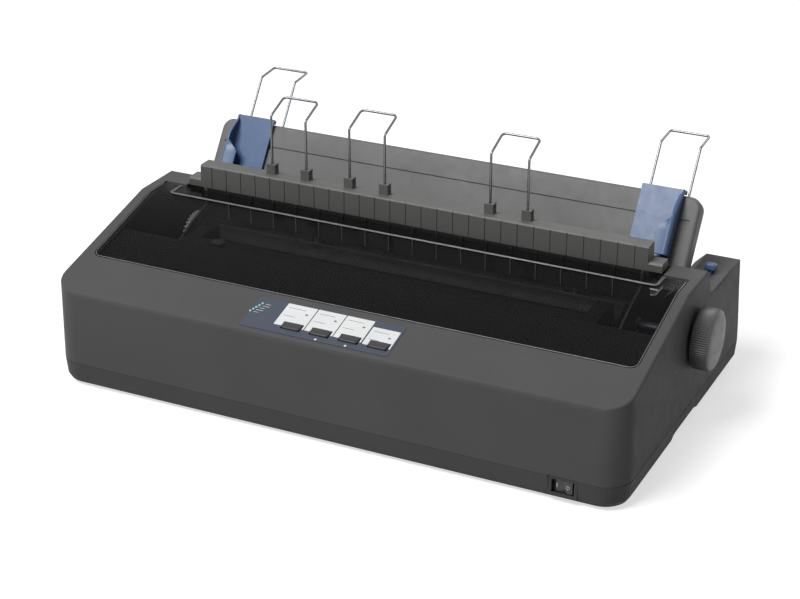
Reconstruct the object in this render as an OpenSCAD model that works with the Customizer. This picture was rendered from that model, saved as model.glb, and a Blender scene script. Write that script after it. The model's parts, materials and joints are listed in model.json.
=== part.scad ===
// Wide-carriage dot matrix printer with a hinged smoked cover. Millimetres, +Z up.
// While a piece is drawn, x = 0 is the middle of the case, y = 0 its front face and z = 0 the desk.
// placed() then moves the origin to the desk below the middle of the whole printer.

/* [Case] */
// Width of the case at its seam
body_w = 612; // [600:1:640]
// Depth of the case at the desk
body_d = 355; // [350:1:370]
// Height of the seam between the lower and the upper case
seam_z = 26; // [24:1:30]
// Height of the front edge of the deck
deck_front_z = 105.8; // [102:0.2:110]
// Height of the flat top behind the sloping deck
crest_z = 150; // [146:1:154]
// Distance from the front face to the start of the flat top
crest_y = 172; // [168:1:176]
// Wall thickness of the moulded shells
wall = 2.6; // [2:0.1:3.2]
// Inward lean of the side walls in degrees
side_draft = 1.2; // [0:0.1:2]
// Radius of the two upright corners at the front
front_corner_r = 28; // [20:1:32]
// Radius of the two upright corners at the rear
rear_corner_r = 12; // [8:1:16]
// Radius of the edge between front face and deck
front_edge_r = 6; // [4:0.5:10]
// Height of the low shelf behind the flat top
shelf_z = 121; // [118:1:124]
// Height of the hand grip arch in each side skirt
grip_h = 13; // [10:1:15]

/* [Cover] */
// Distance from the front face to the front edge of the cover opening
cover_y0 = 58; // [54:1:62]
// Half width of the cover opening
cover_half_w = 293; // [286:1:295]
// Gap between the cover and the case all round
cover_gap = 0.8; // [0.5:0.1:1.2]
// Thickness of the cover
cover_t = 2.5; // [2:0.1:3]
// Corner radius of the cover at the front
cover_corner_r = 9; // [6:1:14]
// Distance from the front face to the rear edge of the cover
cover_y1 = 197; // [195:0.5:198]
// Radius of the cover's hinge pins
hinge_pin_r = 2.5; // [2:0.1:3]

/* [Control panel] */
// Pitch of the four buttons
button_pitch = 30.8; // [29:0.2:32]
// Middle of the first button
button_x0 = -38.7; // [-42:0.1:-36]
// Width of a button
button_w = 20; // [16:1:22]
// Depth of a button along the deck
button_l = 9.5; // [8:0.5:11]
// Travel of a button
button_travel = 1.2; // [0.8:0.1:1.6]
// Height of a button above the deck
button_proud = 2; // [1.5:0.1:2.5]
// Width of the power switch bezel
switch_w = 29; // [26:1:32]
// Height of the power switch bezel
switch_h = 21; // [18:1:21]
// Middle of the power switch
switch_x = 248; // [244:1:252]

/* [Paper path] */
// Radius of the rubber platen
platen_r = 18; // [17:0.5:18.5]
// Half length of the rubber platen
platen_half_l = 232; // [226:1:236]
// Radius of the platen shaft
platen_shaft_r = 5; // [4:0.5:6]
// Distance from the front face to the platen axis
platen_y = 196.8; // [195.8:0.2:197.8]
// Height of the platen axis
platen_z = 95; // [94:0.5:96]
// Radius of the pressure rollers under the platen
pressure_r = 6; // [5:0.5:6.5]
// Outer radius of the platen knob
knob_r = 30.6; // [26:0.2:32]
// Length of the platen knob
knob_l = 19.4; // [16:0.2:22]
// Gap between the case and the knob
knob_gap = 3; // [2:0.5:4]
// Running clearance of a shaft in its bore, on the radius
run_gap = 0.06; // [0.03:0.01:0.1]

/* [Stacker and sheet guide] */
// Half width of the stacker bar
bar_half_w = 250; // [240:1:254]
// Height of the stacker bar
bar_h = 25; // [22:1:28]
// Pitch of the grooves in the stacker bar
bar_pitch = 17.5; // [14:0.5:22]
// Diameter of the wire supports
wire_d = 2.6; // [2:0.1:3]
// Height of a front wire support above its pivot
front_wire_h = 56.5; // [50:0.5:62]
// Half width of the sheet guide plate
guide_half_w = 273; // [268:1:276]
// Lean of the sheet guide from upright, in degrees
guide_lean = 35; // [33:1:37]
// Length of the sheet guide plate above its pivot
guide_l = 74; // [70:1:78]
// Depth of the sheet guide tray
guide_t = 16; // [14:1:17]
// Width of an edge guide
edge_w = 46; // [40:1:50]
// Distance from the middle to the outer side of an edge guide
edge_out = 256; // [252:1:258]

/* [Mechanism] */
// Half distance between the side frames
frame_half = 243; // [241:1:246]
// Thickness of the side frames
frame_t = 2.5; // [2:0.1:3]
// Radius of the carriage guide shaft
guide_shaft_r = 6; // [5:0.5:6.5]
// Width of the carriage
carriage_w = 54; // [48:1:58]
// Module of the paper feed gears
gear_m = 1.5; // [1.4:0.02:1.54]
// Width of the paper feed gears
gear_w = 6; // [5:0.5:7]
// Distance of each tractor from the middle
tractor_x = 150; // [120:1:170]
// Width of a tractor
tractor_w = 22; // [20:1:26]

/* [Hidden] */
$fn = 48;
corner_fn = 32;
eps = 0.01;
seat = 0.3;

deck_slope = (crest_z - deck_front_z) / crest_y;
deck_angle = atan(deck_slope);
crest_end = crest_y + 59;
shelf_y = crest_end + 13;
shelf_drop = 2;
shelf_end = body_d - 16;
rear_top_z = shelf_z - 15;
rear_lean = 1;
floor_z = 1.2;
seam_gap = 0.4;
tongue_t = 1.6;
tongue_h = 4;
foot_r = 9;
foot_h = 4;

bay_half_w = 256;                       // inner side of the shelf blocks at their foot
bay_top_half_w = 271;                   // inner side of the shelf blocks at the shelf
bay_slope_h = 15;
bay_front_y = cover_y1 + 6;
cheek_half_w = 267;                     // inner side of the flat top beside the stacker bar
bay_sill_z = 98;                        // top of the rear wall between the shelf blocks
skirt_h = 15;
skirt_t = 2.4;
ledge_w = 4;
ledge_t = 1.4;
ledge_drop = cover_t + seat;
inner_deck_y1 = 112;                    // rear edge of the black panel under the cover

hinge_y = 192;
hinge_z = crest_z - 6.5;
hinge_pin_l = 4;

bar_y = cover_y1 + 8;
bar_t = 17;
bar_wall = 2.2;
bar_step_w = 14.6;
bar_step_h = 9;
exit_rib_pitch = 27;
exit_rib_h = 2;
exit_guide_t = 2.5;
exit_guide_z = platen_z + platen_r + 4;

pivot_block_w = 10;
pivot_block_y = bar_y + 12;
pivot_block_d = 8;
pivot_z = crest_z + bar_h + 7;
front_wire_x = [-148.8, -58, 99.3];
front_wire_w = 40.4;
front_wire_back = 31;
front_wire_bend = 68;
wire_r = wire_d / 2;
rear_wire_x = [-223, 236.8];
rear_wire_w = 41.4;
rear_wire_back = 29;
rear_wire_rise = 5;
rear_wire_out = 51;
rear_wire_in = 36;
rear_wire_n = 4;

guide_pivot_y = 263.2;
guide_pivot_z = 129;
guide_face_n = 11;                      // the plate's face lies this far ahead of its pivot
guide_skin = 2.5;
guide_pin_r = 3;
guide_lug_t = 3;
edge_gap = 0.4;
edge_t = 2.4;
edge_rise = 4.5;
edge_fence = 16;
edge_lip = 17;
groove_s = 46.5;
groove_w = 3.2;
groove_d = 1.2;

knob_x0 = body_w / 2 - 0.4 + knob_gap - 1;
knob_x1 = knob_x0 + knob_l;

shaft_y = 150;
shaft_z = 66;
cartridge_y0 = 116;
cartridge_y1 = 140;
cartridge_z = 109;
rail_y = 108;
rail_top = shaft_z + 2;
belt_y = 128;
belt_r = 8;
belt_x = 222;
belt_z = 79;
belt_h = 6;
belt_t = 1.2;
frame_top = crest_z - seat;
tray_z = 7;
tray_t = 1.5;
board_z = 14;
screw_y = [40, 178];

platen_teeth = 36;
idler_teeth = 24;
pinion_teeth = 12;
mesh_gap = 0.15;
gear_x = -frame_half - frame_t - gear_w - 4;
idler_dist = gear_m * (platen_teeth + idler_teeth) / 2 + mesh_gap;
idler_dir = 216.87;                     // direction from the platen axis to the idler axis
idler_y = platen_y + idler_dist * cos(idler_dir);
idler_z = platen_z + idler_dist * sin(idler_dir);
idler_turn = mesh_turn(idler_dir, idler_dir, platen_teeth, idler_teeth);
pinion_dist = gear_m * (idler_teeth + pinion_teeth) / 2 + mesh_gap;
pinion_dir = 222;
pinion_y = idler_y + pinion_dist * cos(pinion_dir);
pinion_z = idler_z + pinion_dist * sin(pinion_dir);
pinion_turn = mesh_turn(pinion_dir, idler_turn, idler_teeth, pinion_teeth);

tractor_y = 284;
tractor_z = 82;
tractor_rail_y = 304;
tractor_rail_z = 81;
drive_w = 8;
sprocket_r = 10;
sprocket_pins = 6;
idler_pin_r = 3;
tractor_teeth = 24;
transfer_teeth = 30;
transfer_a = gear_m * (platen_teeth + transfer_teeth) / 2 + mesh_gap;
transfer_b = gear_m * (transfer_teeth + tractor_teeth) / 2 + mesh_gap;
tractor_dist = norm([tractor_y - platen_y, tractor_z - platen_z]);
transfer_dir = atan2(tractor_z - platen_z, tractor_y - platen_y)
    - acos((transfer_a * transfer_a + tractor_dist * tractor_dist - transfer_b * transfer_b)
        / (2 * transfer_a * tractor_dist));
transfer_y = platen_y + transfer_a * cos(transfer_dir);
transfer_z = platen_z + transfer_a * sin(transfer_dir);
transfer_turn = mesh_turn(transfer_dir, idler_dir, platen_teeth, transfer_teeth);
tractor_dir = atan2(tractor_z - transfer_z, tractor_y - transfer_y);
tractor_turn = mesh_turn(tractor_dir, transfer_turn, transfer_teeth, tractor_teeth);
sprocket_w = 6;
pin_l = 3.2;
lid_z = tractor_z + 13.8;
lid_y0 = 277;
lid_y1 = 312;

label_w = 158;
label_l = 45;

lever_x = 287;
lever_y = 276;
lever_z = 62;
lever_l = 65;
lever_lean = 15;

object_x = (knob_x1 - body_w / 2) / 2;
rear_wire_end = guide_pivot_y - (guide_face_n - rear_wire_n) * cos(guide_lean)
    + (guide_l + rear_wire_out) * sin(guide_lean) + rear_wire_back * cos(rear_wire_rise) + wire_r;
object_y = max(body_d, rear_wire_end) / 2;

case_grey = "#5a5a5a";
dark_grey = "#3c3c3e";
black = "#262628";
steel = "#b9bcc0";
guide_blue = "#6f83a0";

// ---------------------------------------------------------------- shared shapes

module placed() translate([-object_x, -object_y, 0]) children();

// An outline in (y, z), drawn out along x
module along_x(x0, x1) translate([x0, 0, 0]) rotate([90, 0, 90]) linear_extrude(x1 - x0) children();

// An outline in (x, z), drawn out along y
module along_y(y0, y1) translate([0, y1, 0]) rotate([90, 0, 0]) linear_extrude(y1 - y0) children();

module rod_x(x0, x1, r) translate([x0, 0, 0]) rotate([0, 90, 0]) cylinder(r = r, h = x1 - x0);

function deck_z(y) = deck_front_z + y * deck_slope;

// A frame on the deck: x across, y up the slope, z square out of the deck
module on_deck(y, n = 0) translate([0, y, deck_z(y)]) rotate([deck_angle, 0, 0]) translate([0, 0, n]) children();

// A frame on the sheet guide: x across, y up the plate from its pivot, z out of its face
module on_guide(s = 0, n = 0)
    translate([0, guide_pivot_y, guide_pivot_z]) rotate([90 - guide_lean, 0, 0])
        translate([0, s, n]) children();

module rounded_box(w, l, h, r) linear_extrude(h) {
    square([w - 2 * r, l], center = true);
    square([w, l - 2 * r], center = true);
    for (sx = [-1, 1], sy = [-1, 1]) translate([sx * (w / 2 - r), sy * (l / 2 - r)]) circle(r);
}

function gear_outline(teeth, m) = [for (i = [0 : teeth - 1], p = [[-0.3, -1.1], [-0.14, 0.9],
    [0.14, 0.9], [0.3, -1.1]]) let (a = (i + p[0]) * 360 / teeth, r = m * (teeth / 2 + p[1]))
    [r * cos(a), r * sin(a)]];

// How far the follower of two meshed gears is turned, when it lies in direction dir from the first
function mesh_turn(dir, turn, teeth, follower) = dir + 180 + 180 / follower + (dir - turn) * teeth / follower;

// A spur gear about x, with a tooth pointing at angle turn from +y towards +z
module gear_x_axis(teeth, m, w, bore, turn) rotate([90, 0, 90]) difference() {
    rotate(turn) linear_extrude(w) polygon(gear_outline(teeth, m));
    translate([0, 0, -1]) cylinder(r = bore, h = w + 2);
}

// A wire support: two legs up y, bent back towards -z, and a bar across the end
module bent_wire(w, up, back, bend, r) {
    for (s = [-1, 1]) translate([s * w / 2, 0, 0]) {
        rotate([-90, 0, 0]) cylinder(r = r, h = up + r);
        translate([0, up, 0]) rotate([-90 - bend, 0, 0]) cylinder(r = r * 0.96, h = back);
    }
    translate([0, up + back * cos(bend), -back * sin(bend)]) rod_x(-w / 2 - r * 1.2, w / 2 + r * 1.2, r);
}

// ---------------------------------------------------------------- case

function half_w_at(z) = body_w / 2 - (z - seam_z) * tan(side_draft);

module case_corners(z, h, inset, half_w) for (s = [-1, 1]) translate([0, 0, z]) {
    translate([s * (half_w - front_corner_r), front_corner_r, 0])
        cylinder(r = front_corner_r - inset, h = h, $fn = corner_fn);
    translate([s * (half_w - rear_corner_r), body_d - rear_corner_r, 0])
        cylinder(r = rear_corner_r - inset, h = h, $fn = corner_fn);
}

module case_prism(inset) hull() {
    case_corners(seam_z - 2, 2, inset, half_w_at(seam_z));
    case_corners(crest_z + 4, 2, inset, half_w_at(crest_z));
}

// The side view of the upper case, drawn in by one wall thickness for the inside
function upper_outline(inset, z0) = let (
        r = max(front_edge_r - inset, 0.6),
        yc = inset + r,
        zc = deck_z(front_edge_r) - front_edge_r / cos(deck_angle))
    concat([[inset, z0]],
        [for (k = [0 : 6]) let (a = 180 - k * (90 - deck_angle) / 6) [yc + r * cos(a), zc + r * sin(a)]],
        [[crest_y + inset * 0.2, crest_z - inset], [crest_end - inset * 0.4, crest_z - inset],
         [shelf_y - inset * 0.4, shelf_z - inset], [shelf_end - inset, shelf_z - shelf_drop - inset],
         [body_d - 14 - inset, shelf_z - 8 - inset], [body_d - inset - rear_lean, z0]]);

module cover_outline(half_w, y0, y1, r) {
    translate([-half_w, y0 + r]) square([2 * half_w, y1 - y0 - r]);
    translate([-half_w + r, y0]) square([2 * (half_w - r), r + eps]);
    for (s = [-1, 1]) translate([s * (half_w - r), y0 + r]) circle(r);
}

// Everything that the cover opening and the open rear bay take out of the top
module top_opening(grow, z0) {
    translate([0, 0, z0]) linear_extrude(200)
        cover_outline(cover_half_w + grow, cover_y0 - grow, bay_front_y + grow, cover_corner_r + grow);
    translate([-cheek_half_w - grow, bay_front_y - 1, z0])
        cube([2 * (cheek_half_w + grow), shelf_y - bay_front_y + 1, 200]);
}

module rear_bay(grow) along_y(shelf_y - 4, body_d + 20) polygon([
    [-bay_half_w - grow, bay_sill_z - grow], [bay_half_w + grow, bay_sill_z - grow],
    [bay_half_w + grow, shelf_z - bay_slope_h], [bay_top_half_w + grow, shelf_z + 0.5],
    [bay_top_half_w + grow, 200], [-bay_top_half_w - grow, 200],
    [-bay_top_half_w - grow, shelf_z + 0.5], [-bay_half_w - grow, shelf_z - bay_slope_h]]);

module switch_cut(grow) translate([switch_x - switch_w / 2 - grow, -1, 17 - switch_h / 2 - grow])
    cube([switch_w + 2 * grow, 20, switch_h + 2 * grow]);

module hand_grips(grow) for (s = [-1, 1]) {
    along_x(s > 0 ? body_w / 2 - 30 - grow : -body_w / 2 - 5, s > 0 ? body_w / 2 + 5 : -body_w / 2 + 30 + grow) {
        polygon([[129 - grow, floor_z - 2], [136 - grow, 5 + grow], [145, grip_h - 1 + grow],
            [150, grip_h + grow], [206, grip_h + grow], [224 + grow, 7 + grow], [242 + grow, floor_z - 2]]);
        polygon([[273 - grow, floor_z - 2], [276 - grow, 6 + grow], [281, 7 + grow], [309, 7 + grow],
            [327 + grow, floor_z - 2]]);
    }
}

module lower_prism(inset) hull() {
    case_corners(seam_z - 1, 1, inset, half_w_at(seam_z));
    case_corners(9, 1, inset + 1.5, half_w_at(seam_z));
    case_corners(4, 0.5, inset + 4.5, half_w_at(seam_z));
    case_corners(floor_z, 0.5, inset + 9, half_w_at(seam_z));
}

module lower_case() color(case_grey) difference() {
    union() {
        difference() {
            lower_prism(0);
            translate([0, 0, floor_z + wall - 0.6]) intersection() {
                lower_prism(wall);
                translate([-400, 0, floor_z]) cube([800, 400, 100]);
            }
        }
        // tongue that locates the upper case
        difference() {
            translate([0, 0, seam_z - 6]) rim_prism(wall + 0.2, tongue_h + 6);
            translate([0, 0, seam_z - 8]) rim_prism(wall + 0.2 + tongue_t, tongue_h + 10);
        }
        intersection() {
            lower_prism(0.2);
            hand_grips(wall);
        }
        // bosses that carry the base frame
        for (x = [-230, 230], y = screw_y) translate([x, y, 2]) cylinder(r = 6, h = tray_z - 2);
        // ribs across the floor
        for (x = [-150, -75, 0, 75, 150]) translate([x - 1, 12, 2]) cube([2, body_d - 28, tray_z - 2 - seat]);
    }
    hand_grips(0);
    switch_cut(0);
    socket_holes(0.4);
    for (x = [-280, 280], y = [60, 258]) translate([x, y, 0]) cylinder(r = foot_r, h = floor_z + 1.6);
    for (x = [-230, 230], y = screw_y) translate([x, y, -1]) cylinder(r = 1.7, h = 20);
}

module rim_prism(inset, h) linear_extrude(h) {
    rf = front_corner_r - inset;
    rr = rear_corner_r - inset;
    hw = body_w / 2 - inset;
    rear = body_d - inset - 2 * rear_lean;
    polygon([[-hw, front_corner_r], [-hw + rf, inset], [hw - rf, inset], [hw, front_corner_r],
        [hw, rear - rr], [hw - rr, rear], [-hw + rr, rear], [-hw, rear - rr]]);
    for (s = [-1, 1]) {
        translate([s * (hw - rf), front_corner_r]) circle(rf);
        translate([s * (hw - rr), rear - rr]) circle(rr);
    }
}

module upper_case() color(case_grey) {
    upper_shell();
    ledge();
}

module upper_shell() difference() {
    union() {
        difference() {
            intersection() {
                case_prism(0);
                along_x(-400, 400) polygon(upper_outline(0, seam_z + seam_gap));
            }
            intersection() {
                case_prism(wall);
                along_x(-400, 400) polygon(upper_outline(wall, seam_z - 1));
            }
        }
        opening_skirt();
        intersection() {
            case_prism(0.5);
            along_x(-400, 400) polygon(upper_outline(0.5, 60));
            rear_bay_walls();
        }
        for (s = [-1, 1]) translate([s * 278.5, guide_pivot_y, shelf_z - 3]) guide_lug();
    }
    top_opening(0, 40);
    rear_bay(0);
    // the bay is open below, in front of its sill
    translate([-bay_half_w, shelf_y - 4, bay_sill_z - 10]) cube([2 * bay_half_w, body_d - 18 - shelf_y + 4, 12]);
    switch_cut(0);
    // bore for the knob shaft
    translate([0, platen_y, platen_z]) rod_x(body_w / 2 - 20, body_w / 2 + 10, platen_shaft_r + 4);
    for (s = [-1, 1]) translate([0, hinge_y, hinge_z]) rod_x(s > 0 ? cover_half_w - 2 : -cover_half_w - 6,
        s > 0 ? cover_half_w + 6 : -cover_half_w + 2, hinge_pin_r + run_gap);
    for (s = [-1, 1]) translate([0, guide_pivot_y, guide_pivot_z])
        rod_x(s > 0 ? 274 : -284, s > 0 ? 284 : -274, guide_pin_r + run_gap);
    // slot of the release lever
    translate([lever_x - 3, 250, shelf_z - 12]) cube([6, 54, 30]);
    for (i = [0 : 3]) on_deck(18, -8) translate([button_x0 + i * button_pitch, 0, 0])
        translate([-button_w / 2 - 0.4, -button_l / 2 - 0.4, 0]) cube([button_w + 0.8, button_l + 0.8, 20]);
    for (p = lamp_spots()) on_deck(0, -8) translate([p[0], p[1], 0]) cylinder(r = 1.6, h = 20);
    on_deck(28, -0.6) translate([-11, 0, 0]) rounded_box(label_w + 0.4, label_l + 0.4, 5, 3);
    socket_holes(0.4);
    // cooling slots in the rear wall
    for (i = [0 : 13]) translate([-60 + i * 9, body_d - 12, 60]) cube([4, 20, 24]);
}

module guide_lug() difference() {
    union() {
        translate([-guide_lug_t / 2, -8, 0]) cube([guide_lug_t, 16, guide_pivot_z - shelf_z + 3]);
        translate([-guide_lug_t / 2, 0, guide_pivot_z - shelf_z + 3]) rotate([0, 90, 0])
            cylinder(r = 6.5, h = guide_lug_t);
    }
}

// Walls round the cover opening, below the deck
module opening_skirt() intersection() {
    difference() {
        top_opening(skirt_t, 60);
        top_opening(0, 50);
    }
    along_x(-400, 400) polygon([[0, deck_z(0) - skirt_h], [crest_y, crest_z - skirt_h],
        [crest_end, crest_z - skirt_h], [shelf_y, shelf_z - 8], [shelf_y, shelf_z - 1], [crest_end, crest_z - 1],
        [crest_y, crest_z - 1], [0, deck_z(0) - 1]]);
}

// The ledge that the cover lies on
module ledge() for (s = [-1, 1]) intersection() {
    union() {
        translate([s > 0 ? cover_half_w - ledge_w : -cover_half_w - 1, cover_y0, 0])
            cube([ledge_w + 1, hinge_y - 12 - cover_y0, 300]);
        translate([-cover_half_w, cover_y0 - 1, 0]) cube([2 * cover_half_w, ledge_w + 1, 300]);
    }
    along_x(-400, 400) polygon([[0, deck_z(0) - ledge_drop - ledge_t], [crest_y, crest_z - ledge_drop - ledge_t],
        [hinge_y, crest_z - ledge_drop - ledge_t], [hinge_y, crest_z - ledge_drop],
        [crest_y, crest_z - ledge_drop], [0, deck_z(0) - ledge_drop]]);
}

module rear_bay_walls() {
    difference() {
        rear_bay(wall);
        rear_bay(0);
    }
    // sill of the rear bay and the fronts of the shelf blocks
    translate([-bay_half_w - wall, body_d - 18, bay_sill_z - wall + eps]) cube([2 * (bay_half_w + wall), 20, wall]);
    for (s = [-1, 1]) translate([s * (cheek_half_w + 4), shelf_y - 4, 105]) cube([12, wall, 60], center = true);
}

module rubber_feet() color(black) for (x = [-280, 280], y = [60, 258]) translate([x, y, 0]) {
    cylinder(r = foot_r - 0.3, h = floor_z + 1.6);
}

module case_screws() color(steel) for (x = [-230, 230], y = screw_y) translate([x, y, 0]) {
    translate([0, 0, floor_z + 0.2]) cylinder(r = 1.6, h = tray_z + tray_t - floor_z);
    translate([0, 0, tray_z + tray_t]) cylinder(r = 3.4, h = 2.2);
}

// ---------------------------------------------------------------- control panel

function lamp_spots() = [for (i = [0 : 4]) [-83 - i * 1.6, 42 - i * 3.4]];

module control_label() color("#4a5568") difference() {
    on_deck(28, -0.3) translate([-11, 0, 0]) rounded_box(label_w, label_l, 0.6, 2.8);
    for (i = [0 : 3]) on_deck(18, -8) translate([button_x0 + i * button_pitch, 0, 0])
        translate([-button_w / 2 - 0.4, -button_l / 2 - 0.4, 0]) cube([button_w + 0.8, button_l + 0.8, 20]);
    for (p = lamp_spots()) on_deck(0, -8) translate([p[0], p[1], 0]) cylinder(r = 1.6, h = 20);
}

module indicator_lenses() color("#58c070") for (p = lamp_spots())
    on_deck(0, -9.5) translate([p[0], p[1], 0]) cylinder(r = 1.4, h = 10.2);

module control_board() color("#2f6b3c") {
    on_deck(28, -11.2) translate([-101, -20, 0]) cube([182, 40, 1.6]);
    // pillars up to the deck
    for (x = [-97, 76], y = [-16, 16]) on_deck(28, -9.8) translate([x, y, 0]) cylinder(r = 2.5, h = 9.8 - wall - seat);
}

module panel_button(i) color(dark_grey) on_deck(18, 0) translate([button_x0 + i * button_pitch, 0, 0]) {
    translate([0, 0, -4.4]) rounded_box(button_w, button_l, 4.4 + button_proud, 3);
    translate([0, 0, -4.3]) rounded_box(button_w + 3, button_l + 3, 1.4, 3);
    translate([0, 0, -8]) cylinder(r = 2, h = 4);
}

module button_1() panel_button(0);
module button_2() panel_button(1);
module button_3() panel_button(2);
module button_4() panel_button(3);

module switch_bezel() color(black) difference() {
    translate([switch_x - switch_w / 2 + 0.3, 0.8, 17 - switch_h / 2 + 0.3]) cube([switch_w - 0.6, 17, switch_h - 0.6]);
    translate([switch_x - 11, 0, 17 - 7]) cube([22, 14, 14]);
    translate([switch_x, 9, 17 - 8.5]) cylinder(r = 1.5 + run_gap, h = 17);
}

module power_rocker() color(dark_grey) translate([switch_x, 9, 17]) rotate([0, 0, -7]) {
    intersection() {
        translate([-10, -7.2, -6.6]) cube([20, 10.2, 13.2]);
        translate([0, 5, -7]) cylinder(r = 13, h = 14);
    }
    translate([0, 0, -8.4]) cylinder(r = 1.5, h = 16.8);
}

// ---------------------------------------------------------------- cover and stacker

module cover_profile(drop, thick) polygon([[cover_y0 - 5, deck_z(cover_y0 - 5) - drop - thick],
    [crest_y, crest_z - drop - thick], [cover_y1, crest_z - drop - thick], [cover_y1, crest_z - drop],
    [crest_y, crest_z - drop], [cover_y0 - 5, deck_z(cover_y0 - 5) - drop]]);

module printer_cover() color("#1e1e20", 0.6) {
    intersection() {
        along_x(-400, 400) cover_profile(0, cover_t);
        linear_extrude(300) cover_outline(cover_half_w - cover_gap, cover_y0 + cover_gap, cover_y1, cover_corner_r);
    }
    // raised lip along the crease, turned back at both ends
    intersection() {
        along_x(-400, 400) polygon([[crest_y, crest_z - 1], [cover_y1, crest_z - 1], [cover_y1, crest_z + 1.2],
            [crest_y, crest_z + 1.2]]);
        difference() {
            linear_extrude(300) cover_outline(bay_top_half_w, crest_y + 1, cover_y1, 6);
            linear_extrude(300) cover_outline(bay_top_half_w - 1.8, crest_y + 2.8, cover_y1 + 1, 4.2);
        }
    }
    // hinge pins on the rear corners, each on its ear
    for (s = [-1, 1]) translate([0, hinge_y, hinge_z]) {
        rod_x(s > 0 ? cover_half_w - 5 : -cover_half_w - hinge_pin_l + 1,
            s > 0 ? cover_half_w + hinge_pin_l - 1 : -cover_half_w + 5, hinge_pin_r);
        translate([s > 0 ? cover_half_w - 5 : -cover_half_w + 2, -hinge_pin_r - 1, -hinge_pin_r])
            cube([3, 2 * hinge_pin_r + 2, crest_z - hinge_z + hinge_pin_r - cover_t + eps]);
    }
}

module inner_deck() color(black) intersection() {
    linear_extrude(300) cover_outline(cover_half_w - 0.8, cover_y0 + 0.8, inner_deck_y1, cover_corner_r - 0.8);
    inner_deck_sheet();
}

module inner_deck_sheet() {
    y0 = cover_y0 + 0.6;
    y1 = inner_deck_y1;
    top = ledge_drop + ledge_t;
    along_x(-cover_half_w + 0.6, cover_half_w - 0.6) polygon([
        [y0, deck_z(y0) - top], [y1, deck_z(y1) - top], [y1, deck_z(y1) - 14],
        [y1 - 2, deck_z(y1 - 2) - 14], [y1 - 2, deck_z(y1 - 2) - top - 2], [y0, deck_z(y0) - top - 2]]);
    // stiffening ribs below
    for (x = [-220 : 55 : 220]) along_x(x - 0.8, x + 0.8) polygon([
        [y0 + 4, deck_z(y0 + 4) - top - 1.9], [y1 - 1, deck_z(y1 - 1) - top - 1.9], [y1 - 1, deck_z(y1 - 1) - 14]]);
}

module bar_solid() {
    along_x(-bar_half_w, bar_half_w) polygon([[bar_y, crest_z], [bar_y, crest_z + bar_h - 1.5],
        [bar_y + 1.5, crest_z + bar_h], [bar_y + bar_t, crest_z + bar_h], [bar_y + bar_t, crest_z]]);
    along_x(-bar_half_w - bar_step_w, bar_half_w + bar_step_w) polygon([[bar_y, crest_z],
        [bar_y, crest_z + bar_step_h - 2], [bar_y + 2, crest_z + bar_step_h],
        [bar_y + bar_t, crest_z + bar_step_h], [bar_y + bar_t, crest_z]]);
}

module stacker_bar() color(dark_grey) difference() {
    union() {
        bar_solid();
        for (c = front_wire_x, s = [-1, 1])
            translate([c + s * front_wire_w / 2 - pivot_block_w / 2, pivot_block_y - pivot_block_d / 2, crest_z + bar_h - 1])
                cube([pivot_block_w, pivot_block_d, pivot_z - crest_z - bar_h + 5]);
    }
    // hollow from below
    for (s = [-1, 1]) translate([s > 0 ? 2 : -bar_half_w + bar_wall, bar_y + bar_wall, crest_z - 1])
        cube([bar_half_w - bar_wall - 2, bar_t - 2 * bar_wall, bar_h + 1 - bar_wall]);
    // grooves in the front face
    for (x = [-bar_pitch * 13.5 : bar_pitch : bar_pitch * 13.5]) translate([x - 0.4, bar_y - 1, crest_z - 1])
        cube([0.8, 1.6, bar_h + 5]);
    for (c = front_wire_x, s = [-1, 1]) translate([c + s * front_wire_w / 2, pivot_block_y, pivot_z]) {
        rod_x(-pivot_block_w / 2 - 1, pivot_block_w / 2 + 1, wire_r * 1.04 + run_gap);
        translate([-wire_r - 0.3, -wire_r - 0.3, -wire_r - 0.3]) cube([wire_d + 0.6, 12, 30]);
    }
}

module stacker_wire(i) color(steel) translate([front_wire_x[i], pivot_block_y, pivot_z]) rotate([90, 0, 0]) {
    bent_wire(front_wire_w, front_wire_h, front_wire_back, front_wire_bend, wire_r);
    for (s = [-1, 1]) translate([s * front_wire_w / 2, 0, 0])
        rod_x(-pivot_block_w / 2 + 0.4, pivot_block_w / 2 - 0.4, wire_r * 1.04);
}

module stacker_wire_1() stacker_wire(0);
module stacker_wire_2() stacker_wire(1);
module stacker_wire_3() stacker_wire(2);

module exit_guide() color(black) {
    translate([-frame_half + seat, bar_y, exit_guide_z]) cube([2 * (frame_half - seat), exit_guide_t, crest_z - seat - exit_guide_z]);
    for (x = [-exit_rib_pitch * 8 : exit_rib_pitch : exit_rib_pitch * 8]) along_x(x - 1, x + 1)
        polygon([[bar_y + 1, crest_z - seat], [bar_y - exit_rib_h + 1, crest_z - seat], [bar_y - exit_rib_h, crest_z - 6],
            [bar_y - exit_rib_h, exit_guide_z + 6], [bar_y + 1, exit_guide_z]]);
}

// ---------------------------------------------------------------- sheet guide

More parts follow.
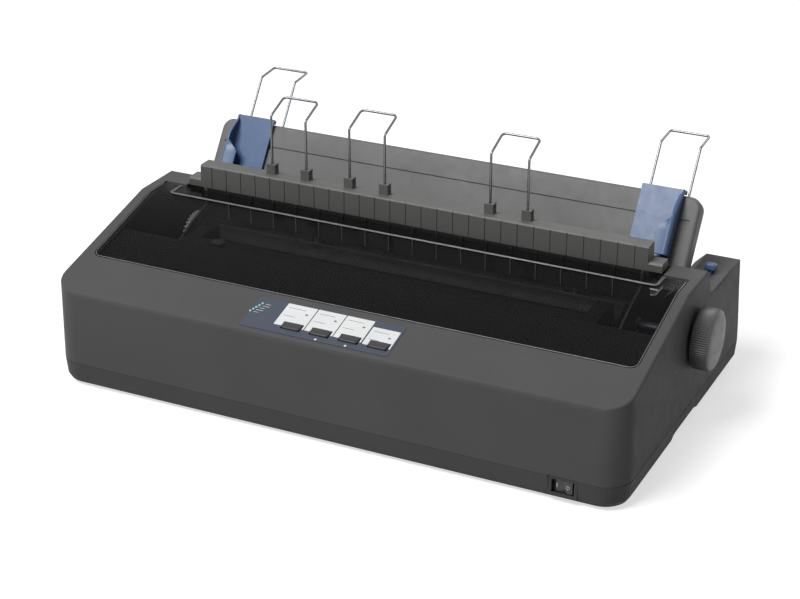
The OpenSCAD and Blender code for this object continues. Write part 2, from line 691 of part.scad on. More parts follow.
module sheet_guide() color("#6b6b6d") difference() {
    union() {
        difference() {
            on_guide(0, guide_face_n - guide_t) translate([-guide_half_w, 0, 0]) guide_slab(guide_half_w * 2, guide_l, guide_t);
            on_guide(0, guide_face_n - guide_t - 1) translate([-guide_half_w + guide_skin, guide_skin, 0])
                guide_slab(2 * (guide_half_w - guide_skin), guide_l - 2 * guide_skin, guide_t + 1 - guide_skin);
        }
        // stiffening ribs behind the face
        for (x = [-180 : 60 : 180]) on_guide(0, 0) translate([x - 0.9, guide_skin - 1, guide_face_n - guide_t + 6])
            cube([1.8, guide_l - 2 * guide_skin + 2, guide_t - 7]);
        // sockets of the wire supports
        for (c = rear_wire_x, s = [-1, 1]) on_guide(12, guide_face_n - rear_wire_n) translate([c + s * rear_wire_w / 2, 0, 0])
            rotate([-90, 0, 0]) cylinder(r = 3.2, h = guide_l - 14);
        for (s = [-1, 1]) translate([0, guide_pivot_y, guide_pivot_z])
            rod_x(s > 0 ? guide_half_w - 4 : -guide_half_w - 7, s > 0 ? guide_half_w + 7 : -guide_half_w + 4, guide_pin_r);
        for (s = [-1, 1]) translate([0, guide_pivot_y, guide_pivot_z])
            rod_x(s > 0 ? guide_half_w - 4.5 : -guide_half_w - 0.4, s > 0 ? guide_half_w + 0.4 : -guide_half_w + 4.5,
                guide_pin_r + 1.5);
    }
    for (c = rear_wire_x, s = [-1, 1]) on_guide(0, guide_face_n - rear_wire_n) translate([c + s * rear_wire_w / 2, 0, 0])
        rotate([-90, 0, 0]) cylinder(r = wire_r + run_gap, h = guide_l + 10);
    // groove that the edge guides run in
    on_guide(groove_s, guide_face_n - groove_d) translate([-guide_half_w + 8, 0, 0])
        cube([2 * guide_half_w - 16, groove_w, groove_d + 1]);
}

module guide_slab(w, l, t) translate([w / 2, 0, 0]) linear_extrude(t) {
    r = 12;
    translate([-w / 2, 0]) square([w, l - r]);
    translate([-w / 2 + r, l - r - eps]) square([w - 2 * r, r + eps]);
    for (s = [-1, 1]) translate([s * (w / 2 - r), l - r]) circle(r);
}

// The left edge guide, with its fence towards -x
module edge_guide() {
    x0 = -edge_out;
    top = guide_l + edge_rise;
    face = guide_face_n + edge_gap;
    // back plate with the finger notch
    on_guide(8, face) translate([x0, 0, 0]) cube([edge_w, top - 8, edge_t]);
    on_guide(guide_l + edge_gap, face - 2.2) translate([x0, 0, 0]) cube([edge_w, edge_rise - edge_gap, 2.2 + edge_t]);
    // runner in the groove
    on_guide(groove_s + 0.3, face - groove_d + 0.1) translate([x0 + 4, 0, 0]) cube([edge_w - 8, groove_w - 0.6, groove_d + eps]);
    // fence
    on_guide(0, face) translate([x0, 0, 0]) rotate([90, 0, 90]) linear_extrude(edge_t)
        polygon([[8, 0], [8, edge_fence - 4], [12, edge_fence + edge_t], [50, edge_fence + edge_t], [top, edge_t], [top, 0]]);
    // lip in front of the sheet's edge
    on_guide(0, face + edge_fence) translate([x0, 0, 0]) linear_extrude(edge_t) edge_lip_outline();
}

module edge_lip_outline() {
    polygon(concat([[0, 12], [edge_lip, 12], [edge_lip, 34]],
        [for (k = [0 : 5]) let (a = k * 12) [edge_lip - 9 + 9 * cos(a), 34 + 9 * sin(a)]], [[0, 50]]));
}

module edge_guide_left() color(guide_blue) edge_guide();
module edge_guide_right() color(guide_blue) mirror([1, 0, 0]) edge_guide();

module guide_wires() color(steel) for (c = rear_wire_x)
    on_guide(rear_wire_in, guide_face_n - rear_wire_n) translate([c, 0, 0])
        bent_wire(rear_wire_w, guide_l + rear_wire_out - rear_wire_in, rear_wire_back,
            90 - guide_lean - rear_wire_rise, wire_r);

// ---------------------------------------------------------------- frame

// Bottom plate, with the head rail and the post of the idler pulley on it
module base_frame() color(steel) {
    difference() {
        translate([-frame_half - 12, 20, tray_z]) cube([2 * frame_half + 24, 305, tray_t]);
        for (x = [-230, 230], y = screw_y) translate([x, y, 0]) cylinder(r = 1.6, h = 30);
    }
    for (y = [20, 325 - tray_t]) translate([-frame_half - 12, y, tray_z]) cube([2 * frame_half + 24, tray_t, 5.5]);
    along_x(-frame_half + seat, frame_half - seat) polygon([[rail_y, 50], [rail_y + 1.6, 50],
        [rail_y + 1.6, rail_top - 1.6], [rail_y + 9, rail_top - 1.6], [rail_y + 9, rail_top], [rail_y, rail_top]]);
    for (s = [-1, 1]) translate([s * (frame_half - 8) - 6, rail_y, tray_z + tray_t - eps]) cube([12, 1.6, 50]);
    translate([-belt_x, belt_y, tray_z + tray_t - eps]) {
        cylinder(r = 7, h = belt_z - 2 - tray_z - tray_t);
        cylinder(r = 2.5, h = belt_z + belt_h - tray_z - tray_t);
    }
}

module side_frame() along_x(-frame_t, 0) difference() {
    polygon([[64, tray_z + tray_t], [320, tray_z + tray_t], [320, 92], [298, 102], [250, 104], [232, 112],
        [bar_y + bar_t - 1, frame_top], [bar_y + 1, frame_top], [bar_y - 2, 132], [172, 122],
        [cartridge_y1, cartridge_z - 1], [cartridge_y0 - 4, cartridge_z - 1], [96, 98], [64, 60]]);
    translate([platen_y, platen_z]) circle(platen_shaft_r + 3);
    translate([shaft_y, shaft_z]) circle(guide_shaft_r);
    translate([platen_y, platen_z - platen_r - pressure_r - seat]) circle(2.5 + run_gap);
    translate([tractor_y, tractor_z]) circle(5 + run_gap);
    translate([tractor_rail_y, tractor_rail_z]) circle(4);
    translate([lever_y, lever_z]) circle(4 + run_gap);
    translate([88, 34]) circle(12);
    translate([200, 24]) square([60, 18]);
}

module frame_pin(y, z) translate([0, y, z]) rod_x(gear_x - 1, -frame_half - frame_t / 2, idler_pin_r);

module side_frame_left() color(steel) {
    translate([-frame_half, 0, 0]) side_frame();
    frame_pin(idler_y, idler_z);
    frame_pin(transfer_y, transfer_z);
}

module side_frame_right() color(steel) mirror([1, 0, 0]) translate([-frame_half, 0, 0]) side_frame();

module guide_shaft() color("#d5d7da") translate([0, shaft_y, shaft_z]) rod_x(-frame_half - frame_t - 2, frame_half + frame_t + 2, guide_shaft_r);

module platen_bushes() color("#e6e2d6") for (s = [-1, 1]) translate([0, platen_y, platen_z]) difference() {
    union() {
        rod_x(s > 0 ? frame_half - 1 : -frame_half - frame_t - 1, s > 0 ? frame_half + frame_t + 1 : -frame_half + 1, platen_shaft_r + 3);
        rod_x(s > 0 ? frame_half - 2 : -frame_half, s > 0 ? frame_half : -frame_half + 2, platen_shaft_r + 6);
    }
    rod_x(-300, 300, platen_shaft_r + run_gap);
}

// Front of the chute, below the print line, and its long ramp from the rear bay
module paper_chute() color(black) {
    top = [[339, 87.6], [330, 80], [304, 66], [262, 64], [236, 66], [222, 71.5], [213, 80.5]];
    along_x(-frame_half + seat, frame_half - seat)
        polygon(concat(top, [for (i = [len(top) - 1 : -1 : 0]) [top[i][0] + (i > 4 ? -1.6 : 0), top[i][1] - 2.2]]));
    along_x(-frame_half + seat, frame_half - seat) polygon([[186, 74], [179.5, 80], [176.2, 86], [174.8, 85.4],
        [178, 79], [184.6, 72.4], [186, 60], [187.6, 60]]);
    // ribs that the sheet slides on
    for (x = [-exit_rib_pitch * 8 : exit_rib_pitch : exit_rib_pitch * 8]) along_x(x - 1, x + 1)
        polygon([[338.6, 87], [338.6, 90.2], [329, 81.8], [303.5, 67.8], [262, 65.8], [237, 67.6], [224.5, 72], [224, 69], [262, 63],
            [304, 65]]);
    // cross ribs under the pressure rollers, from the frame floor up
    for (x = [-226, -120, 0, 120, 226]) along_x(x - 1.5, x + 1.5) polygon([[186, 56], [240, 56], [240, 65], [225, 68],
        [221, 69], [206, 60], [186, 61]]);
}

// ---------------------------------------------------------------- boards and sockets

module main_board() color("#2f6b3c") {
    translate([-112, 60, board_z]) cube([310, 262, 1.6]);
    for (x = [-100, 190], y = [70, 190, 310]) translate([x, y, tray_z + tray_t])
        cylinder(r = 3, h = board_z - tray_z - tray_t + eps);
    for (p = [[20, 90, 34, 34], [80, 84, 40, 14], [140, 80, 22, 22], [-60, 150, 90, 14], [60, 180, 60, 22], [-80, 230, 40, 40]])
        translate([p[0], p[1], board_z + 1.6 - eps]) cube([p[2], p[3], 4]);
    for (x = [150 : 16 : 182]) translate([x, 150, board_z + 1.6 - eps]) cylinder(r = 5, h = 16);
}

module power_supply() color(steel) difference() {
    union() {
        translate([-232, 190, tray_z + tray_t]) cube([100, 130, 40]);
        translate([-236, 200, tray_z + tray_t]) cube([108, 14, 3]);
        translate([-236, 296, tray_z + tray_t]) cube([108, 14, 3]);
    }
    for (y = [200 : 10 : 300]) translate([-220, y, tray_z + tray_t + 36]) cube([76, 4, 10]);
}

inlet_x = -180;
parallel_x = 120;
serial_x = 184;
socket_z = 40;
socket_back = 3;

// [middle, width, height, where its body starts] of the mains inlet and the two data sockets
socket_sizes = [[inlet_x, 30, 22, 320], [parallel_x, 70, 16, 316], [serial_x, 14, 14, 316]];

module socket_holes(grow) for (p = socket_sizes)
    translate([p[0] - p[1] / 2 - grow, body_d - 16, socket_z - p[2] / 2 - grow]) cube([p[1] + 2 * grow, 30, p[2] + 2 * grow]);

module rear_sockets() color(black) for (p = socket_sizes) difference() {
    union() {
        translate([p[0] - p[1] / 2, p[3], socket_z - p[2] / 2]) cube([p[1], body_d - socket_back - p[3], p[2]]);
        // foot on the board
        if (p[3] < 320) translate([p[0] - p[1] / 2, p[3], board_z + 1.6]) cube([p[1], 5, socket_z - board_z]);
    }
    translate([p[0] - p[1] / 2 + 3, body_d - 20, socket_z - p[2] / 2 + 3]) cube([p[1] - 6, 30, p[2] - 6]);
}

// ---------------------------------------------------------------- carriage drive

module motor(size, l, shaft_r, shaft_l) {
    translate([-size / 2, -size / 2, -l]) cube([size, size, l]);
    cylinder(r = size * 0.26, h = 1.5);
    cylinder(r = shaft_r, h = shaft_l);
}

module carriage_motor() color(steel) {
    z = shaft_z - 11;
    translate([belt_x, belt_y, z]) motor(35, 34, 2.5, belt_z + belt_h + 1 - z);
    translate([belt_x - 16, belt_y - 16, tray_z + tray_t]) cube([32, 32, z - 33.9 - tray_z - tray_t]);
}

module feed_motor() color(steel) {
    translate([gear_x - 4, pinion_y, pinion_z]) rotate([0, 90, 0]) motor(38, 34, 2.5, gear_w + 6);
    for (sy = [-1, 1], sz = [-1, 1]) if (sy < 0 || sz < 0)
        translate([0, pinion_y + sy * 15, pinion_z + sz * 15]) rod_x(gear_x - 4.1, -frame_half - frame_t, 2);
}

module drive_pulley() color("#e6e2d6") translate([belt_x, belt_y, belt_z]) difference() {
    union() {
        cylinder(r = belt_r - 0.3, h = belt_h);
        translate([0, 0, -1.2]) cylinder(r = belt_r + 1, h = 1.2 + eps);
    }
    translate([0, 0, -2]) cylinder(r = 2.5 + run_gap, h = belt_h + 5);
}

module idler_pulley() color("#e6e2d6") mirror([1, 0, 0]) translate([belt_x, belt_y, belt_z]) difference() {
    union() {
        cylinder(r = belt_r - 0.3, h = belt_h);
        translate([0, 0, -1.2]) cylinder(r = belt_r + 1, h = 1.2 + eps);
    }
    translate([0, 0, -2]) cylinder(r = 2.5 + run_gap, h = belt_h + 5);
}

module timing_belt() color(black) translate([0, belt_y, belt_z + 0.4]) linear_extrude(belt_h - 0.8) difference() {
    belt_loop(belt_r + belt_t);
    belt_loop(belt_r);
}

module belt_loop(r) {
    translate([-belt_x, -r]) square([2 * belt_x, 2 * r]);
    for (s = [-1, 1]) translate([s * belt_x, 0]) circle(r);
}

module carriage() color(dark_grey) difference() {
    union() {
        translate([-carriage_w / 2, shaft_y - 9, shaft_z - 9]) cube([carriage_w, 18, 17]);
        translate([-carriage_w / 2, rail_y + 2, shaft_z + 4.5]) cube([carriage_w, shaft_y - rail_y + 6, 3.5]);
        // shoe on the head rail
        translate([-10, rail_y + 3, rail_top + seat]) cube([20, 6, 4]);
        // clamp on the belt
        translate([-8, belt_y + belt_r - 2.4, shaft_z + 7]) cube([16, 6, belt_z + belt_h - shaft_z - 5]);
        // cheeks that hold the head
        for (s = [-1, 1]) translate([s * 21 - 1.5, shaft_y - 7, shaft_z + 7]) cube([3, 16, 24]);
    }
    translate([0, shaft_y, shaft_z]) rod_x(-carriage_w, carriage_w, guide_shaft_r + run_gap);
    translate([-20, belt_y + belt_r - 0.4, belt_z]) cube([40, belt_t + 0.8, belt_h + 5]);
}

module print_head() color("#8f9296") translate([0, 0, platen_z]) {
    for (k = [0 : 4]) translate([0, shaft_y - 7 + k * 3.6, 0]) rotate([-90, 0, 0]) cylinder(r = 16.5, h = 2);
    translate([0, shaft_y - 7, 0]) rotate([-90, 0, 0]) cylinder(r = 13, h = 17);
    along_y(shaft_y + 9, shaft_y + 15) polygon([[-12, -10], [12, -10], [12, 10], [-12, 10]]);
    translate([-5, shaft_y + 14, -8]) cube([10, platen_y - platen_r - 3 - shaft_y - 14, 14]);
    for (s = [-1, 1]) translate([s > 0 ? 14 : -19.4, shaft_y - 6, shaft_z + 8 - platen_z]) cube([5.4, 12, 14]);
}

module ribbon_cartridge() color(black) {
    difference() {
        union() {
            translate([-215, cartridge_y0, cartridge_z]) cube([430, cartridge_y1 - cartridge_y0, 15]);
            for (s = [-1, 1]) translate([s * 220 - 8, cartridge_y0, cartridge_z - 1]) cube([16, 61, 16]);
            // tabs on the side frames
            for (s = [-1, 1]) translate([s * 238 - 12, cartridge_y0 + 2, cartridge_z - 1]) cube([24, 18, 3]);
        }
        translate([-185, 128, cartridge_z + 4]) cylinder(r = 4.3, h = 20);
        for (s = [-1, 1]) translate([s * 220 - 6.5, 168, cartridge_z - 10]) cube([13, 20, 40]);
    }
}

module ink_ribbon() color("#151517") translate([-226, platen_y - platen_r - 2.4, cartridge_z - 15]) cube([452, 0.4, 14]);

module ribbon_knob() color(dark_grey) translate([-185, 128, cartridge_z]) {
    translate([0, 0, 4 + seat]) cylinder(r = 4, h = 11.7);
    translate([0, 0, 15.4]) linear_extrude(4) polygon(gear_outline(18, 0.8));
}

// ---------------------------------------------------------------- paper feed

module platen_roller() color("#202022") translate([0, platen_y, platen_z]) difference() {
    rod_x(-platen_half_l, platen_half_l, platen_r);
    rod_x(-300, 300, platen_shaft_r);
}

module platen_shaft() color("#d5d7da") translate([0, platen_y, platen_z]) rod_x(gear_x - 1, knob_x0 + 8, platen_shaft_r);

module platen_gear() color("#e6e2d6") translate([gear_x, platen_y, platen_z])
    gear_x_axis(platen_teeth, gear_m, gear_w, platen_shaft_r, idler_dir);

module reduction_gear() color("#e6e2d6") translate([gear_x, idler_y, idler_z])
    gear_x_axis(idler_teeth, gear_m, gear_w, idler_pin_r + run_gap, idler_turn);

module feed_pinion() color("#c9a54a") translate([gear_x, pinion_y, pinion_z])
    gear_x_axis(pinion_teeth, gear_m, gear_w, 2.5 + run_gap, pinion_turn);

module platen_knob() color(dark_grey) translate([0, platen_y, platen_z]) difference() {
    union() {
        translate([knob_x0, 0, 0]) rotate([90, 0, 90]) linear_extrude(knob_l - 3)
            polygon([for (i = [0 : 143]) let (a = i * 2.5, r = knob_r - (i % 2) * 0.7) [r * cos(a), r * sin(a)]]);
        translate([knob_x1 - 3 - eps, 0, 0]) rotate([0, 90, 0]) cylinder(r1 = knob_r - 0.8, r2 = knob_r - 3, h = 3 + eps);
    }
    rod_x(0, knob_x0 + 8, platen_shaft_r);
    rotate([0, 90, 0]) translate([0, 0, knob_x1 - 0.8]) difference() {
        cylinder(r = knob_r - 5, h = 3);
        translate([0, 0, -1]) cylinder(r = knob_r - 6.2, h = 5);
    }
}

module pressure_rollers() color("#202022") translate([0, platen_y, platen_z - platen_r - pressure_r - seat]) {
    rod_x(-frame_half - frame_t - 1, frame_half + frame_t + 1, 2.5);
    for (x = [-180, -60, 60, 180]) rod_x(x - 20, x + 20, pressure_r);
}

module release_lever() color(guide_blue) translate([lever_x, lever_y, lever_z]) {
    rod_x(frame_half + 0.1 - lever_x, 4, 4);
    rotate([-lever_lean, 0, 0]) {
        translate([-2, -3, 0]) cube([4, 6, lever_l]);
        translate([-5.5, -6, lever_l - 2]) cube([11, 12, 7]);
        rod_x(-2, 2, 8);
    }
}

// ---------------------------------------------------------------- tractors

module tractor_rail() color("#d5d7da") translate([0, tractor_rail_y, tractor_rail_z])
    rod_x(-frame_half - frame_t, frame_half + frame_t, 4);

module transfer_gear() color("#e6e2d6") translate([gear_x, transfer_y, transfer_z])
    gear_x_axis(transfer_teeth, gear_m, gear_w, idler_pin_r + run_gap, transfer_turn);

module tractor_shaft() color("#d5d7da") translate([0, tractor_y, tractor_z]) {
    rod_x(gear_x, -frame_half + 4, 5);
    rod_x(frame_half - 4, frame_half + frame_t + 2, 5);
    translate([-frame_half + 3, -drive_w / 2, -drive_w / 2]) cube([2 * frame_half - 6, drive_w, drive_w]);
    translate([gear_x, 0, 0]) gear_x_axis(tractor_teeth, gear_m, gear_w, 1, tractor_turn);
}

module tractor_body() difference() {
    union() {
        along_x(-tractor_w / 2, tractor_w / 2) {
            translate([tractor_y, tractor_z]) circle(12);
            translate([tractor_y, tractor_z - 7]) square([28, 19]);
            translate([tractor_y + 20, tractor_z - 1]) square([12.6, 9]);
            translate([tractor_rail_y, tractor_rail_z]) circle(8);
        }
        // lugs of the lid
        for (y = [lid_y0 - 4.6, lid_y1 + 0.6]) translate([-tractor_w / 2, y, tractor_z]) cube([6, 4, lid_z - tractor_z + 2.5]);
    }
    translate([0, tractor_y, tractor_z]) rod_x(-30, 30, drive_w * 0.5 * sqrt(2) + 0.3);
    translate([0, tractor_y, tractor_z]) rod_x(-sprocket_w / 2 - 1, sprocket_w / 2 + 1, sprocket_r + pin_l + 0.8);
    translate([0, tractor_rail_y, tractor_rail_z]) rod_x(-30, 30, 4 + run_gap);
    translate([-tractor_w / 2 + 3, lid_y0 - 10, lid_z]) rotate([-90, 0, 0]) cylinder(r = 1.2 + run_gap, h = 60);
}

module tractor_left() color(dark_grey) translate([-tractor_x, 0, 0]) tractor_body();
module tractor_right() color(dark_grey) translate([tractor_x, 0, 0]) mirror([1, 0, 0]) tractor_body();

module tractor_sprocket() translate([0, tractor_y, tractor_z]) difference() {
    union() {
        rod_x(-sprocket_w / 2, sprocket_w / 2, sprocket_r);
        for (i = [0 : sprocket_pins - 1]) rotate([i * 360 / sprocket_pins, 0, 0]) cylinder(r = 1.6, h = sprocket_r + pin_l);
    }
    translate([-20, -drive_w / 2 - run_gap, -drive_w / 2 - run_gap]) cube([40, drive_w + 2 * run_gap, drive_w + 2 * run_gap]);
}

module tractor_sprocket_left() color(guide_blue) translate([-tractor_x, 0, 0]) tractor_sprocket();
module tractor_sprocket_right() color(guide_blue) translate([tractor_x, 0, 0]) tractor_sprocket();

module tractor_lid() difference() {
    union() {
        translate([-tractor_w / 2 + 3, lid_y0, lid_z - 1.2]) cube([tractor_w - 4, lid_y1 - lid_y0, 2.4]);
        translate([-tractor_w / 2 + 3, lid_y0 - 4, lid_z]) rotate([-90, 0, 0]) cylinder(r = 1.2, h = lid_y1 - lid_y0 + 8);
    }
    // slot over the sprocket's pins
    translate([-sprocket_w / 2 - 1, lid_y0 - 1, lid_z - 5]) cube([sprocket_w + 2, 18, 10]);
}

module tractor_lid_left() color(guide_blue) translate([-tractor_x, 0, 0]) tractor_lid();
module tractor_lid_right() color(guide_blue) translate([tractor_x, 0, 0]) mirror([1, 0, 0]) tractor_lid();

// ---------------------------------------------------------------- assembly

placed() lower_case();
placed() upper_case();
placed() rubber_feet();
placed() case_screws();
placed() base_frame();
placed() side_frame_left();
placed() side_frame_right();
placed() guide_shaft();
placed() paper_chute();
placed() exit_guide();
placed() inner_deck();
placed() stacker_bar();
placed() control_label();
placed() indicator_lenses();
placed() control_board();
placed() main_board();
placed() power_supply();
placed() rear_sockets();
placed() switch_bezel();
placed() platen_bushes();
placed() carriage_motor();
placed() feed_motor();
placed() timing_belt();
placed() ribbon_cartridge();
placed() ink_ribbon();
placed() tractor_rail();
placed() printer_cover();
placed() platen_roller();
placed() platen_shaft();
placed() platen_gear();
placed() platen_knob();
placed() reduction_gear();
placed() feed_pinion();
placed() drive_pulley();
placed() idler_pulley();
placed() carriage();
placed() print_head();
placed() ribbon_knob();
placed() pressure_rollers();
placed() release_lever();
placed() button_1();
placed() button_2();
placed() button_3();
placed() button_4();
placed() power_rocker();
placed() sheet_guide();
placed() edge_guide_left();
placed() edge_guide_right();
placed() guide_wires();
placed() stacker_wire_1();
placed() stacker_wire_2();
placed() stacker_wire_3();
placed() tractor_shaft();
placed() tractor_left();
placed() tractor_right();
placed() tractor_sprocket_left();
placed() tractor_sprocket_right();
placed() transfer_gear();
placed() tractor_lid_left();
placed() tractor_lid_right();
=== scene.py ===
"""Wide-carriage dot matrix printer with a smoked cover, dressed for the studio.

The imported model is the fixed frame. Pieces are drawn in millimetres in the maker's frame of the case
(x = 0 its middle, y = 0 its front face, z = 0 the desk) and are set in the model's frame in metres.
"""

from __future__ import annotations

import json
import logging
import math
from collections.abc import Callable, Iterable, Sequence
from dataclasses import dataclass, field
from enum import Enum

import bmesh
import bpy
from mathutils import Matrix, Vector

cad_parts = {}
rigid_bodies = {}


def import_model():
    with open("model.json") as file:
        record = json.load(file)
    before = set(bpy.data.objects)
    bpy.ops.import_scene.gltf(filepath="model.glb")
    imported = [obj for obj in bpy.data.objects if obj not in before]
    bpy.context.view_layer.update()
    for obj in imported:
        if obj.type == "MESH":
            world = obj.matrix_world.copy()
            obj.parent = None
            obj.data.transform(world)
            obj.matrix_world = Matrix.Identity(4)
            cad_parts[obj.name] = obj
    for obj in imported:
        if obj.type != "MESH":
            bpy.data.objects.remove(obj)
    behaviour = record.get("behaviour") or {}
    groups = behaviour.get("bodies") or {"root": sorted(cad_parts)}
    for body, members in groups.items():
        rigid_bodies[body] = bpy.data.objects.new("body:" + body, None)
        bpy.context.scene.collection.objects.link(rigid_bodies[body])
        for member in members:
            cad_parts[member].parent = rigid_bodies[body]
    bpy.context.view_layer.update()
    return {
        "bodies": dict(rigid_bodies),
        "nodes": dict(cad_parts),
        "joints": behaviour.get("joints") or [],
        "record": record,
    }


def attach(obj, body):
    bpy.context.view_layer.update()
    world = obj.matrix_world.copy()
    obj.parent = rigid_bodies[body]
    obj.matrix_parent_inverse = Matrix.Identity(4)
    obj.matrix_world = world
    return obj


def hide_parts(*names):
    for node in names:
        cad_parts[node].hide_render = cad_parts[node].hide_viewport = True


log = logging.getLogger("printer")

MM = 0.001
ORIGIN = Vector((10.5, 179.676, 0.0))
TO_MODEL = Matrix.Scale(MM, 4) @ Matrix.Translation(-ORIGIN)

DECK_FRONT_Z = 105.8
CREST_Y = 172.0
CREST_Z = 150.0
DECK_ANGLE = math.atan((CREST_Z - DECK_FRONT_Z) / CREST_Y)
GUIDE_PIVOT = Vector((0.0, 263.2, 129.0))
GUIDE_LEAN = math.radians(35)
# A facet wider than this is a flat face, and a narrower one is part of a rounding
FLAT_WIDTH = 6.0


# ---------------------------------------------------------------- colours and nodes


def linear(code: str) -> tuple[float, float, float, float]:
    """Turns an sRGB hex colour into linear light.

    Args:
        code: The colour as six hex digits after a hash.

    Returns:
        Red, green, blue and an alpha of 1.
    """
    parts = [int(code[i:i + 2], 16) / 255 for i in (1, 3, 5)]
    red, green, blue = (p / 12.92 if p <= 0.04045 else ((p + 0.055) / 1.055) ** 2.4 for p in parts)
    return red, green, blue, 1.0


def shaded(colour: Sequence[float], share: float) -> tuple[float, float, float, float]:
    """Makes a linear colour lighter or darker.

    Args:
        colour: The linear colour.
        share: 1 leaves it as it is.

    Returns:
        The changed colour with an alpha of 1.
    """
    return (*(min(1.0, c * share) for c in colour[:3]), 1.0)


def add_node(tree: bpy.types.NodeTree, kind: str, inputs: dict | None = None, **settings: object) -> bpy.types.Node:
    """Adds one shader node.

    Args:
        tree: The node tree that it joins.
        kind: Blender's name of the node's type.
        inputs: A constant or a linked output for each named or numbered input.
        settings: The node's own settings.

    Returns:
        The new node.
    """
    node = tree.nodes.new(kind)
    for name, value in settings.items():
        setattr(node, name, value)
    for name, value in (inputs or {}).items():
        if isinstance(value, bpy.types.NodeSocket):
            tree.links.new(value, node.inputs[name])
        else:
            node.inputs[name].default_value = value
    return node


def seen_directly(tree: bpy.types.NodeTree) -> bpy.types.NodeSocket:
    """Tells a surface that is seen from one that only lights others.

    Args:
        tree: The node tree.

    Returns:
        1 where the camera, gloss or glass sees the surface, else 0.
    """
    path = add_node(tree, "ShaderNodeLightPath")
    seen = path.outputs["Is Camera Ray"]
    for ray in ("Is Glossy Ray", "Is Transmission Ray"):
        seen = add_node(tree, "ShaderNodeMath", {0: seen, 1: path.outputs[ray]}, operation="MAXIMUM").outputs[0]
    return seen


def set_in_scene(name: str, data: bpy.types.ID) -> bpy.types.Object:
    """Makes an object of a mesh, curve, lamp or camera and links it to the scene.

    Args:
        name: The object's name.
        data: What it shows.

    Returns:
        The object.
    """
    holder = bpy.data.objects.new(name, data)
    bpy.context.scene.collection.objects.link(holder)
    return holder


class Grain(Enum):
    """The way in which a metal's surface lies."""

    ROLLED = "rolled"
    GROUND = "ground"
    DRAWN = "drawn"


@dataclass(frozen=True)
class Finish:
    """What every finish has: a name, a colour and how much it scatters light."""

    name: str
    colour: str
    roughness: float = 0.5

    def surface(self, tree: bpy.types.NodeTree, place: bpy.types.NodeSocket) -> dict:
        """Gives the shader's inputs, from the node tree and the place on the piece in metres."""
        raise NotImplementedError

    def make(self) -> bpy.types.Material:
        """Makes the material.

        Returns:
            The material, with the surface that the finish gives.
        """
        material = bpy.data.materials.new(self.name)
        material.use_nodes = True
        tree = material.node_tree
        tree.nodes.clear()
        place = add_node(tree, "ShaderNodeTexCoord").outputs["Object"]
        shader = add_node(tree, "ShaderNodeBsdfPrincipled", self.surface(tree, place))
        add_node(tree, "ShaderNodeOutputMaterial", {"Surface": shader.outputs[0]})
        return material

    def bump(self, tree: bpy.types.NodeTree, height: bpy.types.NodeSocket, depth_mm: float,
             strength: float) -> bpy.types.NodeSocket:
        """Raises the surface by a height.

        Args:
            tree: The node tree.
            height: The height, from 0 to 1.
            depth_mm: What a height of 1 stands for.
            strength: How much of it the light shows.

        Returns:
            The normal of the raised surface.
        """
        return add_node(tree, "ShaderNodeBump", {"Height": height, "Distance": depth_mm * MM,
                                                 "Strength": strength}).outputs[0]

    def rubbed(self, tree: bpy.types.NodeTree, factor: bpy.types.NodeSocket, spread: float) -> bpy.types.NodeSocket:
        """Varies the finish's roughness up and down with a noise."""
        return self.between(tree, factor, self.roughness - spread, self.roughness + spread)

    def noise(self, tree: bpy.types.NodeTree, place: bpy.types.NodeSocket, size_mm: float, detail: float = 2.0,
              stretch: tuple[float, float, float] = (1.0, 1.0, 1.0)) -> bpy.types.NodeSocket:
        """Adds cloudy noise of a real size.

        Args:
            tree: The node tree.
            place: The place on the piece.
            size_mm: The size of one cloud in millimetres.
            detail: How many finer layers it has.
            stretch: How much finer it is along each axis.

        Returns:
            The noise's value from 0 to 1.
        """
        spread = add_node(tree, "ShaderNodeMapping", {"Vector": place, "Scale": stretch})
        return add_node(tree, "ShaderNodeTexNoise", {"Vector": spread.outputs[0], "Scale": 1 / (size_mm * MM),
                                                     "Detail": detail}).outputs[0]

    def between(self, tree: bpy.types.NodeTree, factor: bpy.types.NodeSocket, low: float,
                high: float) -> bpy.types.NodeSocket:
        """Spreads the middle of a noise over a range of values."""
        return add_node(tree, "ShaderNodeMapRange", {"Value": factor, "From Min": 0.3, "From Max": 0.7,
                                                     "To Min": low, "To Max": high}).outputs[0]

    def tinted(self, tree: bpy.types.NodeTree, factor: bpy.types.NodeSocket, spread: float) -> bpy.types.NodeSocket:
        """Varies the finish's colour a little up and down with a noise.

        Args:
            tree: The node tree.
            factor: The noise.
            spread: How far the colour goes each way, as a share of it.

        Returns:
            The varied colour.
        """
        colour = linear(self.colour)
        wide = self.between(tree, factor, 0.0, 1.0)
        return add_node(tree, "ShaderNodeMix", {0: wide, 6: shaded(colour, 1 - spread), 7: shaded(colour, 1 + spread)},
                        data_type="RGBA").outputs[2]


